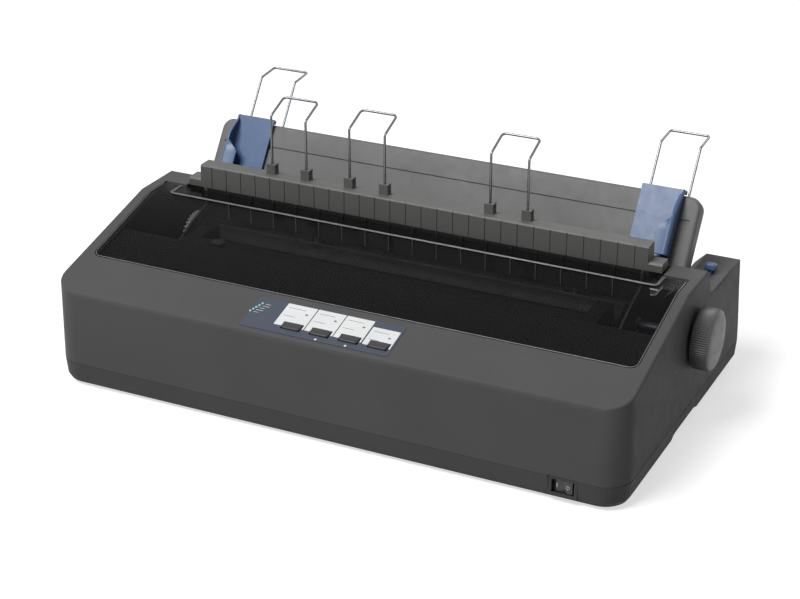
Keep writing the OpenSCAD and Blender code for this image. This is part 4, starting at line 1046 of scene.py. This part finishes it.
@dataclass
class ControlPanel(SubAssembly):
    """The label with its white fields, the lamps, the four buttons and the power switch."""

    label_top: float = 0.3
    label_y: float = 28.0
    # The row of lamps and the rules beside them: where each starts, and the step to the next
    lamp_start: tuple[float, float] = (-83.0, 42.0)
    rule_start: tuple[float, float] = (-79.6, 42.0)
    lamp_step: tuple[float, float] = (-1.6, -3.4)
    lamp_count: int = 5
    button_pitch: float = 30.8
    first_button: float = -38.7
    button_y: float = 18.0
    fields: tuple[tuple[float, float, float, float], ...] = (
        (-58.0, -26.0, 17.0, 48.5), (-25.0, 5.0, 17.0, 48.5), (6.0, 35.4, 17.0, 48.5), (37.0, 66.0, 16.0, 41.0))
    switch: tuple[float, float, float] = (248.0, 9.0, 17.0)

    def slope(self, y: float) -> float:
        """The distance up the slope from the label's middle to a place given by its depth."""
        return (y - self.label_y) / math.cos(DECK_ANGLE)

    def build(self) -> None:
        """Makes and dresses every piece of the panel."""
        self.dress(Finishes.label, "control_label")
        self.dress(Finishes.board, "control_board")
        self.dress(Finishes.socket, "switch_bezel")
        white = [self.field_pad(i, *box) for i, box in enumerate(self.fields)]
        self.place(joined(white), "label_fields", "case", Finishes.patch, "label_film")
        self.place(joined(self.marks()), "label_marks", "case", Finishes.mark, "label_film")
        self.place(joined(self.dots()), "label_dots", "case", Finishes.patch, "label_film")
        lamps = [moved(rod((0, 0, -9.5), (0, 0, 0.9), 1.4, 20, 0.6), on_deck(0, 0) @ Matrix.Translation(
            (*self.in_row(self.lamp_start, i), 0))) for i in range(self.lamp_count)]
        self.place(joined(lamps), "panel_lamps", "case", Finishes.lens, "lamp_lens", ["indicator_lenses"])
        for i in range(4):
            self.place(self.button(i), f"button_cap_{i + 1}", f"button_{i + 1}", Finishes.button, "button_plastic",
                       [f"button_{i + 1}"])
        self.place(self.rocker(), "switch_rocker", "power_rocker", Finishes.rocker, "button_plastic", ["power_rocker"])
        self.place(self.rocker_marks(), "switch_marks", "power_rocker", Finishes.tick, "button_plastic")

    def in_row(self, start: tuple[float, float], index: int) -> tuple[float, float]:
        """The place of a lamp or a rule in its row, across and up the slope."""
        return start[0] + index * self.lamp_step[0], start[1] + index * self.lamp_step[1]

    def field_pad(self, index: int, x0: float, x1: float, y0: float, y1: float) -> bmesh.types.BMesh:
        """Makes a white field of the label, cut out round its button.

        Args:
            index: Which button stands in the field.
            x0: Its left side.
            x1: Its right side.
            y0: Its front.
            y1: Its rear.

        Returns:
            The thin field on the deck.
        """
        middle = self.first_button + index * self.button_pitch
        low, high = self.slope(y0), self.slope(y1)
        cut = self.slope(self.button_y) + 5.6
        left, right = max(middle - 10.9, x0 + 0.8), min(middle + 10.9, x1 - 0.8)
        outline = [(x0, low), (left, low), (left, cut), (right, cut), (right, low), (x1, low), (x1, high), (x0, high)]
        return moved(pad(outline, 0.12, 0.7), on_deck(0, self.label_y, self.label_top))

    def marks(self) -> list[bmesh.types.BMesh]:
        """Makes the plain printed rules and arrow marks of the fields.

        Returns:
            The marks' shapes, two rules and an arrow for each field.
        """
        shapes = []
        for x0, x1, _, y1 in self.fields:
            for drop, share in ((5.5, 0.72), (17.0, 0.5)):
                y = self.slope(y1 - drop)
                outline = oblong(x0 + 3, x0 + 3 + (x1 - x0 - 6) * share, y - 0.25, y + 0.25)
                shapes.append(moved(pad(outline, 0.04, 0.1), on_deck(0, self.label_y, self.label_top + 0.12)))
            tip = self.slope(y1 - 11.0)
            arrow = [(x1 - 8, tip - 1.6), (x1 - 4.6, tip), (x1 - 8, tip + 1.6)]
            shapes.append(moved(pad(arrow, 0.04, 0.15), on_deck(0, self.label_y, self.label_top + 0.12)))
        return shapes

    def dots(self) -> list[bmesh.types.BMesh]:
        """Makes the two pale dots at the label's front and the short rules beside the lamps.

        Returns:
            Two dots and five rules.
        """
        shapes = [moved(rod((0, 0, 0), (0, 0, 0.14), 1.3, 20, 0.02), on_deck(x, y, self.label_top))
                  for x, y in ((-8.2, 8.3), (23.3, 8.6))]
        for i in range(self.lamp_count):
            x, y = self.in_row(self.rule_start, i)
            bar = oblong(x, x + 5.5 + (i % 2) * 2, -0.22, 0.22)
            shapes.append(moved(pad(bar, 0.1, 0.1), on_deck(0, 0) @ Matrix.Translation((0, y, self.label_top))))
        return shapes

    def button(self, index: int) -> bmesh.types.BMesh:
        """Makes a button with a domed top, its flange and its stem.

        Args:
            index: Which button it is, from 0 at the left.

        Returns:
            The button in its place on the deck.
        """
        cap = moved(pad(oblong(-10, 10, -4.75, 4.75), 6.4, 3.0, 1.1), Matrix.Translation((0, 0, -4.4)))
        flange = moved(pad(oblong(-11.5, 11.5, -6.25, 6.25), 1.4, 3.0, 0.2), Matrix.Translation((0, 0, -4.3)))
        stem = rod((0, 0, -8), (0, 0, -4), 2.0, 20)
        place = on_deck(self.first_button + index * self.button_pitch, self.button_y)
        return moved(joined([cap, flange, stem]), place)

    def rocker(self) -> bmesh.types.BMesh:
        """Makes the rocker with its two sloping halves and its pin.

        Returns:
            The rocker in its place.
        """
        outline = [(-10, 3), (-10, -5.6), (-5, -6.6), (0, -4.9), (5, -6.6), (10, -5.6), (10, 3)]
        body = moved(pad(outline, 13.2, 0.8, 0.6), Matrix.Translation((0, 0, -6.6)))
        pin = rod((0, 0, -8.4), (0, 0, 8.4), 1.5, 20)
        return moved(joined([body, pin]), self.rocker_place())

    def rocker_place(self) -> Matrix:
        """Where the rocker stands, tilted to its off side."""
        return Matrix.Translation(self.switch) @ Matrix.Rotation(math.radians(-7), 4, "Z")

    def rocker_marks(self) -> bmesh.types.BMesh:
        """Makes the bar and the ring that mark on and off.

        Returns:
            Both marks, standing a little out of the rocker's face.
        """
        lift = Matrix.Rotation(math.pi / 2, 4, "X")
        bar = moved(pad(oblong(-0.35, 0.35, -2.2, 2.2), 0.12, 0.2), Matrix.Translation((-5.6, -6.42, 0)) @ lift)
        ring_path = [Vector((5.6 + 1.6 * math.cos(a * math.pi / 12), -6.42, 1.6 * math.sin(a * math.pi / 12)))
                     for a in range(25)]
        return moved(joined([bar, bent_rod(ring_path, 0.22)]), self.rocker_place())


@dataclass
class Stacker(SubAssembly):
    """The grooved bar behind the cover with its three wire supports."""

    middles: tuple[float, ...] = (-148.8, -58.0, 99.3)
    width: float = 40.4
    up: float = 56.5
    back: float = 31.0
    bend: float = math.radians(68)
    radius: float = 1.3
    pivot_y: float = 217.0
    pivot_z: float = 182.0
    rib_pitch: float = 27.0
    rib_half_width: float = 220.0
    rib_y: float = 202.9

    def build(self) -> None:
        """Dresses the bar and the exit guide, adds the painted highlight strips on its ribs and bends the wires."""
        self.dress(Finishes.bar, "stacker_bar")
        self.dress(Finishes.inner, "exit_guide")
        # Light grey strips on the ribs: painted highlights for their glossy edges
        self.place(self.rib_highlight_strips(), "exit_rib_highlights", "case", Finishes.rib_highlight, "black_plastic")
        for i, middle in enumerate(self.middles):
            self.place(self.wire(middle), f"support_wire_{i + 1}", f"stacker_wire_{i + 1}", Finishes.wire,
                       "bright_wire", [f"stacker_wire_{i + 1}"])

    def rib_highlight_strips(self) -> bmesh.types.BMesh:
        """Makes a light grey strip on each rib of the exit guide, which the printed sheet slides over: a painted
        highlight for the gloss on the rib's edge.

        Returns:
            One upright strip for each rib.
        """
        count = int(self.rib_half_width // self.rib_pitch)
        return joined([block((1.1, 0.5, 17.0), (i * self.rib_pitch, self.rib_y, 127.5), 0.2)
                       for i in range(-count, count + 1)])

    def wire(self, middle: float) -> bmesh.types.BMesh:
        """Bends one support from a single length of wire.

        Args:
            middle: Where its middle stands across the printer.

        Returns:
            The wire, with its two feet turned into the bar's pivots.
        """
        half = self.width / 2
        knee_z = self.pivot_z + self.up
        end_y = self.pivot_y + self.back * math.sin(self.bend)
        end_z = knee_z + self.back * math.cos(self.bend)
        corners = [Vector((middle - half - 4.6, self.pivot_y, self.pivot_z)),
                   Vector((middle - half, self.pivot_y, self.pivot_z)),
                   Vector((middle - half, self.pivot_y, knee_z)), Vector((middle - half, end_y, end_z)),
                   Vector((middle + half, end_y, end_z)), Vector((middle + half, self.pivot_y, knee_z)),
                   Vector((middle + half, self.pivot_y, self.pivot_z)),
                   Vector((middle + half + 4.6, self.pivot_y, self.pivot_z))]
        return bent_rod(filleted(corners, [1.4, 4.0, 4.5, 4.5, 4.0, 1.4]), self.radius)


@dataclass
class SheetGuide(SubAssembly):
    """The folding plate with its two sliding edge guides and its wire supports."""

    half_width: float = 273.0
    length: float = 74.0
    face: float = 11.0
    rim: float = 3.4
    wire_middles: tuple[float, ...] = (-223.0, 236.8)
    wire_width: float = 41.4
    wire_start: float = 36.0
    wire_end: float = 125.0
    wire_back: float = 29.0
    wire_bend: float = math.radians(50)
    guide_out: float = 256.0
    guide_width: float = 46.0
    wall: float = 2.4
    fence: float = 16.0
    lip: float = 16.0
    # Places up the plate: where the fence starts to fall, where the lip starts to narrow and how long it takes
    fence_falls_at: float = 47.0
    lip_ends_at: float = 33.0
    lip_ease: float = 16.0

    def build(self) -> None:
        """Makes the plate, the wires and the two edge guides."""
        self.plate()
        wires = joined([self.wire(m) for m in self.wire_middles])
        self.place(wires, "guide_support_wires", "guide_wires", Finishes.wire, "bright_wire", ["guide_wires"])
        for side, turn in (("left", False), ("right", True)):
            shape = joined([self.sheet(), self.runner()])
            if turn:
                shape = mirrored(shape)
            name = f"edge_guide_{side}"
            self.place(shape, f"{name}_moulding", name, Finishes.blue, "guide_blue", [name], sharp=50)

    def plate(self) -> None:
        """Rounds the rim of the plate's face."""
        plate = self.copied("sheet_guide")
        to_plate = on_guide().inverted()

        def on_rim(a: Vector, b: Vector) -> bool:
            """Tells whether an edge lies on the outline of the face.

            Args:
                a: The edge's first end.
                b: Its other end.

            Returns:
                Whether it is rounded.
            """
            low, high = to_plate @ a, to_plate @ b
            return all(abs(p.z - self.face) < 0.05 and (abs(p.x) > self.half_width - 12.2 or p.y > self.length - 0.3)
                       and not (46 < p.y < 50 and abs(p.x) < 266) for p in (low, high))

        self.rounded(plate, self.rim, 6, on_rim)
        self.place(plate, "guide_plate", "sheet_guide", Finishes.guide, "guide_plastic", ["sheet_guide"], sharp=35)

    def wire(self, middle: float) -> bmesh.types.BMesh:
        """Bends one support that stands in the plate.

        Args:
            middle: The place of its middle across the printer.

        Returns:
            The wire's shape.
        """
        half = self.wire_width / 2
        out = self.face - 4.0
        end = self.wire_end + self.wire_back * math.cos(self.wire_bend)
        behind = out - self.wire_back * math.sin(self.wire_bend)
        corners = [Vector((middle - half, self.wire_start, out)), Vector((middle - half, self.wire_end, out)),
                   Vector((middle - half, end, behind)), Vector((middle + half, end, behind)),
                   Vector((middle + half, self.wire_end, out)), Vector((middle + half, self.wire_start, out))]
        return moved(bent_rod(filleted(corners, [3.0, 3.0, 3.0, 3.0]), 1.3), on_guide())

    def profile(self, share: float, up: float) -> tuple[float, float]:
        """Gives a point of the guide's section, from its inner edge round its fence to its lip.

        Args:
            share: How far round the section, from 0 to 1.
            up: The place along the guide.

        Returns:
            The point's distance across from the outer side and its height over the plate.
        """
        top = self.length + 4.5
        fall = min(1.0, max(0.0, (up - self.fence_falls_at) / (top - self.fence_falls_at)))
        height = self.fence * (1 - fall ** 1.6) + 0.9
        ease = min(1.0, max(0.0, (up - self.lip_ends_at) / self.lip_ease))
        width = max(0.6, (self.lip - 3.0) * (1 - ease * ease * (3 - 2 * ease)))
        bend = min(3.2, height / 2)
        inner = self.guide_width - self.wall / 2 - bend
        # The section in turn: the back plate, a bend, the fence, a bend and the lip
        if share < 0.35:
            return self.guide_width - share / 0.35 * inner, 0.0
        if share < 0.5:
            angle = (share - 0.35) / 0.15 * math.pi / 2
            return self.wall / 2 + bend * (1 - math.sin(angle)), bend * (1 - math.cos(angle))
        if share < 0.62:
            return self.wall / 2, bend + (height - 2 * bend) * (share - 0.5) / 0.12
        if share < 0.8:
            angle = (share - 0.62) / 0.18 * math.pi / 2
            return self.wall / 2 + bend * (1 - math.cos(angle)), height - bend * (1 - math.sin(angle))
        along = (share - 0.8) / 0.2
        return self.wall / 2 + bend + width * along, height - 1.2 * math.sin(along * math.pi / 2) * min(1.0, width / 6)

    def sheet(self) -> bmesh.types.BMesh:
        """Makes the left guide's curved wall: a back plate, a fence and a lip in front of the paper's edge.

        Returns:
            A closed wall of even thickness.
        """
        shape = bmesh.new()
        bmesh.ops.create_grid(shape, x_segments=50, y_segments=44, size=0.5)
        for vert in shape.verts:
            up = 8.0 + (vert.co.y + 0.5) * (self.length - 3.5)
            across, out = self.profile(min(1.0, vert.co.x + 0.5), up)
            vert.co = Vector((-self.guide_out + across, up, self.face + 0.4 + self.wall / 2 + out))
        bmesh.ops.recalc_face_normals(shape, faces=shape.faces[:])
        bmesh.ops.solidify(shape, geom=shape.faces[:], thickness=self.wall)
        bmesh.ops.recalc_face_normals(shape, faces=shape.faces[:])
        rim = [e for e in shape.edges if e.calc_face_angle(0) > math.radians(60)]
        bevelled(shape, rim, 0.5, 2, clamp=True)
        return moved(shape, on_guide())

    def runner(self) -> bmesh.types.BMesh:
        """Makes the hook over the plate's upper edge and the runner in its groove.

        Returns:
            The two blocks that hold the left guide on the plate.
        """
        left = -self.guide_out
        middle = left + self.guide_width / 2
        hook = block((self.guide_width, 4.1, 4.6), (middle, self.length + 2.45, self.face + 0.5), 0.6)
        rail = block((self.guide_width - 8, 2.6, 1.2), (middle, 48.1, self.face - 0.1), 0.2)
        return moved(joined([hook, rail]), on_guide())


@dataclass
class PaperFeed(SubAssembly):
    """The platen with its knob, gears, pressure rollers, release lever and tractors."""

    axis_y: float = 196.8
    axis_z: float = 95.0
    knob_start: float = 307.6
    knob_end: float = 327.0
    knob_radius: float = 30.6
    ridges: int = 84
    ridge_depth: float = 1.1
    lever: tuple[float, float, float] = (287.0, 276.0, 62.0)
    lever_lean: float = math.radians(15)

    def build(self) -> None:
        """Makes the knob and the lever, and dresses the rest."""
        self.place(self.knob(), "knob_moulding", "platen", Finishes.knob, "knob_plastic", ["platen_knob"], sharp=45)
        self.place(self.lever_moulding(), "lever_moulding", "release_lever", Finishes.blue, "guide_blue",
                   ["release_lever"], sharp=40)
        self.dress(Finishes.platen, "platen_roller", "pressure_rollers")
        # The platen's shaft gets the darker zinc, painted shade inside the case
        self.dress(Finishes.shaded_zinc, "platen_shaft")
        self.dress(Finishes.ground, "tractor_shaft", "tractor_rail")
        self.dress(Finishes.acetal, "platen_gear", "reduction_gear", "transfer_gear", "platen_bushes")
        self.dress(Finishes.brass, "feed_pinion")
        self.dress(Finishes.carriage, "tractor_left", "tractor_right")
        self.dress(Finishes.blue, "tractor_sprocket_left", "tractor_sprocket_right", "tractor_lid_left",
                   "tractor_lid_right")
        self.dress(Finishes.inner, "paper_chute")

    def knob(self) -> bmesh.types.BMesh:
        """Makes the knob: a ridged rim, a rounded shoulder and a shallow dished face.

        Returns:
            The closed knob about the platen's axis.
        """
        shape = bmesh.new()
        bmesh.ops.create_circle(shape, cap_ends=True, radius=self.knob_radius - 1.2, segments=self.ridges * 4)
        step = shape.faces[:]
        depth = self.knob_end - self.knob_start
        # Each ring's height over the knob's back, and how far it lies outside the rim
        rings = [(0.8, 0.0), (depth - 4.4, 0.0), (depth - 3.2, -0.5), (depth - 2.2, -1.4), (depth - 1.4, -2.8),
                 (depth - 0.8, -5.0), (depth - 0.35, -9.0), (depth - 0.1, -15.0), (depth, -24.0)]
        radius, height = self.knob_radius - 1.2, 0.0
        for high, out in rings:
            step = bmesh.ops.extrude_discrete_faces(shape, faces=step)["faces"]
            share = (self.knob_radius + out) / radius
            verts = list({v for f in step for v in f.verts})
            bmesh.ops.scale(shape, vec=(share, share, 1.0), verts=verts)
            bmesh.ops.translate(shape, vec=(0, 0, high - height), verts=verts)
            radius, height = self.knob_radius + out, high
        for vert in shape.verts:
            reach = math.hypot(vert.co.x, vert.co.y)
            if reach > self.knob_radius - 0.8:
                turn = math.atan2(vert.co.y, vert.co.x) * self.ridges
                vert.co.xy *= 1 - self.ridge_depth * (1 - math.cos(turn)) / 2 / reach
        bmesh.ops.recalc_face_normals(shape, faces=shape.faces[:])
        place = Matrix.Translation((self.knob_start, self.axis_y, self.axis_z)) @ Matrix.Rotation(math.pi / 2, 4, "Y")
        return moved(shape, place)

    def lever_moulding(self) -> bmesh.types.BMesh:
        """Makes the release lever: a flat arm, its hub and a ribbed cap.

        Returns:
            The lever's shape, with the pin that it turns on.
        """
        arm = block((4, 6, 64), (0, 0, 32), 0.5)
        cap = block((11, 12, 7), (0, 0, 66.5), 1.8)
        ribs = [block((9, 1.2, 1.0), (0, y, 70.0), 0.4) for y in (-3.4, -1.1, 1.2, 3.5)]
        lean = Matrix.Translation(self.lever) @ Matrix.Rotation(-self.lever_lean, 4, "X")
        upper = moved(joined([arm, cap, *ribs]), lean)
        hub = moved(rod((-2, 0, 0), (2, 0, 0), 8.0, 32), Matrix.Translation(self.lever))
        pin = rod((243.1, *self.lever[1:]), (291.0, *self.lever[1:]), 4.0, 32)
        return joined([upper, hub, pin])


@dataclass
class Mechanism(SubAssembly):
    """The frame, the carriage with its head and ribbon, the motors and the boards."""

    def build(self) -> None:
        """Dresses every inner piece."""
        self.dress(Finishes.zinc, "base_frame", "power_supply")
        # The side frames get the darker zinc, painted shade deep inside the case
        self.dress(Finishes.shaded_zinc, "side_frame_left", "side_frame_right")
        self.dress(Finishes.ground, "guide_shaft")
        self.dress(Finishes.motor, "carriage_motor", "feed_motor")
        self.dress(Finishes.acetal, "drive_pulley", "idler_pulley")
        self.dress(Finishes.belt, "timing_belt")
        self.dress(Finishes.carriage, "carriage")
        self.dress(Finishes.head, "print_head")
        self.dress(Finishes.inner, "ribbon_cartridge")
        self.dress(Finishes.ribbon, "ink_ribbon")
        self.dress(Finishes.knob, "ribbon_knob")
        self.dress(Finishes.board, "main_board")
        self.dress(Finishes.socket, "rear_sockets")
        self.place(self.contacts(), "socket_contacts", "case", Finishes.screw, "zinc_steel")

    def contacts(self) -> bmesh.types.BMesh:
        """Makes the three pins of the mains inlet and the contacts of the two data sockets.

        Returns:
            All the contacts as one shape.
        """
        pins = [block((2.2, 12, 5), (-180 + x, 334, z), 0.5) for x, z in ((-6, 38), (6, 38), (0, 43))]
        bars = [block((0.9, 9, 1.4), (120 - 26 + i * 3.1, 334, 40 + 1.6 * side), 0.2)
                for i in range(18) for side in (-1, 1)]
        small = [block((1.0, 9, 1.0), (184 + x, 334, 40 + z), 0.2) for x in (-2, 2) for z in (-2, 2)]
        return joined(pins + bars + small)


@dataclass
class Studio:
    """The pale floor, the soft lamps and the camera."""

    camera_at: tuple[float, float, float] = (0.76623, -1.60565, 0.91611)
    view_way: tuple[float, float, float] = (-0.3953, 0.8144, -0.4248)
    lens_mm: float = 87.016
    sky: float = 0.15

    def build(self, finishes: Finishes) -> None:
        """Sets the floor, the world, the lamps and the camera.

        Args:
            finishes: The finishes, of which the floor has one.
        """
        shape = bmesh.new()
        bmesh.ops.create_grid(shape, x_segments=4, y_segments=4, size=15.0)
        mesh = bpy.data.meshes.new("studio_floor")
        shape.to_mesh(mesh)
        shape.free()
        floor = set_in_scene("studio_floor", mesh)
        mesh.materials.append(finishes.get(Finishes.floor))
        self.world()
        self.lamp("lamp_above", (-1.75, -2.95, 5.4), (0.0, 0.0, 0.05), 3.0, 470.0)
        self.lamp("lamp_behind", (0.2, 4.2, 2.3), (0.0, 0.0, 0.1), 2.0, 45.0)
        self.view()

    def world(self) -> None:
        """Makes the sky: white where the camera, gloss or glass sees it, and plain light elsewhere."""
        world = bpy.data.worlds.new("studio_sky")
        world.use_nodes = True
        bpy.context.scene.world = world
        tree = world.node_tree
        tree.nodes.clear()
        strength = add_node(tree, "ShaderNodeMapRange",
                            {"Value": seen_directly(tree), "To Min": self.sky, "To Max": 1.0})
        light = add_node(tree, "ShaderNodeBackground", {"Color": (1.0, 1.0, 1.0, 1.0), "Strength": strength.outputs[0]})
        add_node(tree, "ShaderNodeOutputWorld", {"Surface": light.outputs[0]})

    def lamp(self, name: str, at: Sequence[float], target: Sequence[float], size: float, power: float) -> None:
        """Hangs one square soft lamp.

        Args:
            name: Its name.
            at: Where it hangs, in metres.
            target: What it looks at.
            size: Its side in metres.
            power: Its power in watts.
        """
        light = bpy.data.lights.new(name, "AREA")
        light.size = size
        light.energy = power
        holder = set_in_scene(name, light)
        holder.location = at
        holder.rotation_euler = (Vector(target) - Vector(at)).to_track_quat("-Z", "Y").to_euler()

    def view(self) -> None:
        """Sets the camera at the photograph's place and angle."""
        camera = bpy.data.cameras.new("studio_camera")
        camera.lens = self.lens_mm
        camera.sensor_width = 36.0
        camera.clip_end = 100.0
        holder = set_in_scene("studio_camera", camera)
        holder.location = self.camera_at
        holder.rotation_euler = Vector(self.view_way).to_track_quat("-Z", "Y").to_euler()
        bpy.context.scene.camera = holder
        bpy.context.scene.view_settings.view_transform = "Standard"


def main() -> None:
    """Builds and dresses the printer in the studio."""
    logging.basicConfig(level=logging.INFO, format="%(name)s: %(message)s")
    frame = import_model()
    finishes = Finishes()
    for assembly in (CaseShells, SmokedCover, ControlPanel, Stacker, SheetGuide, PaperFeed, Mechanism):
        group = assembly(frame, finishes)
        group.build()
        log.info("%s has %d new pieces", assembly.__name__, len(group.pieces))
    Studio().build(finishes)
    bare = [n for n, o in frame["nodes"].items() if not o.hide_render
            and any(m is None or m.name not in finishes.made for m in o.data.materials)]
    log.info("nodes without a finish: %s", bare)


if __name__ == "__main__":
    main()
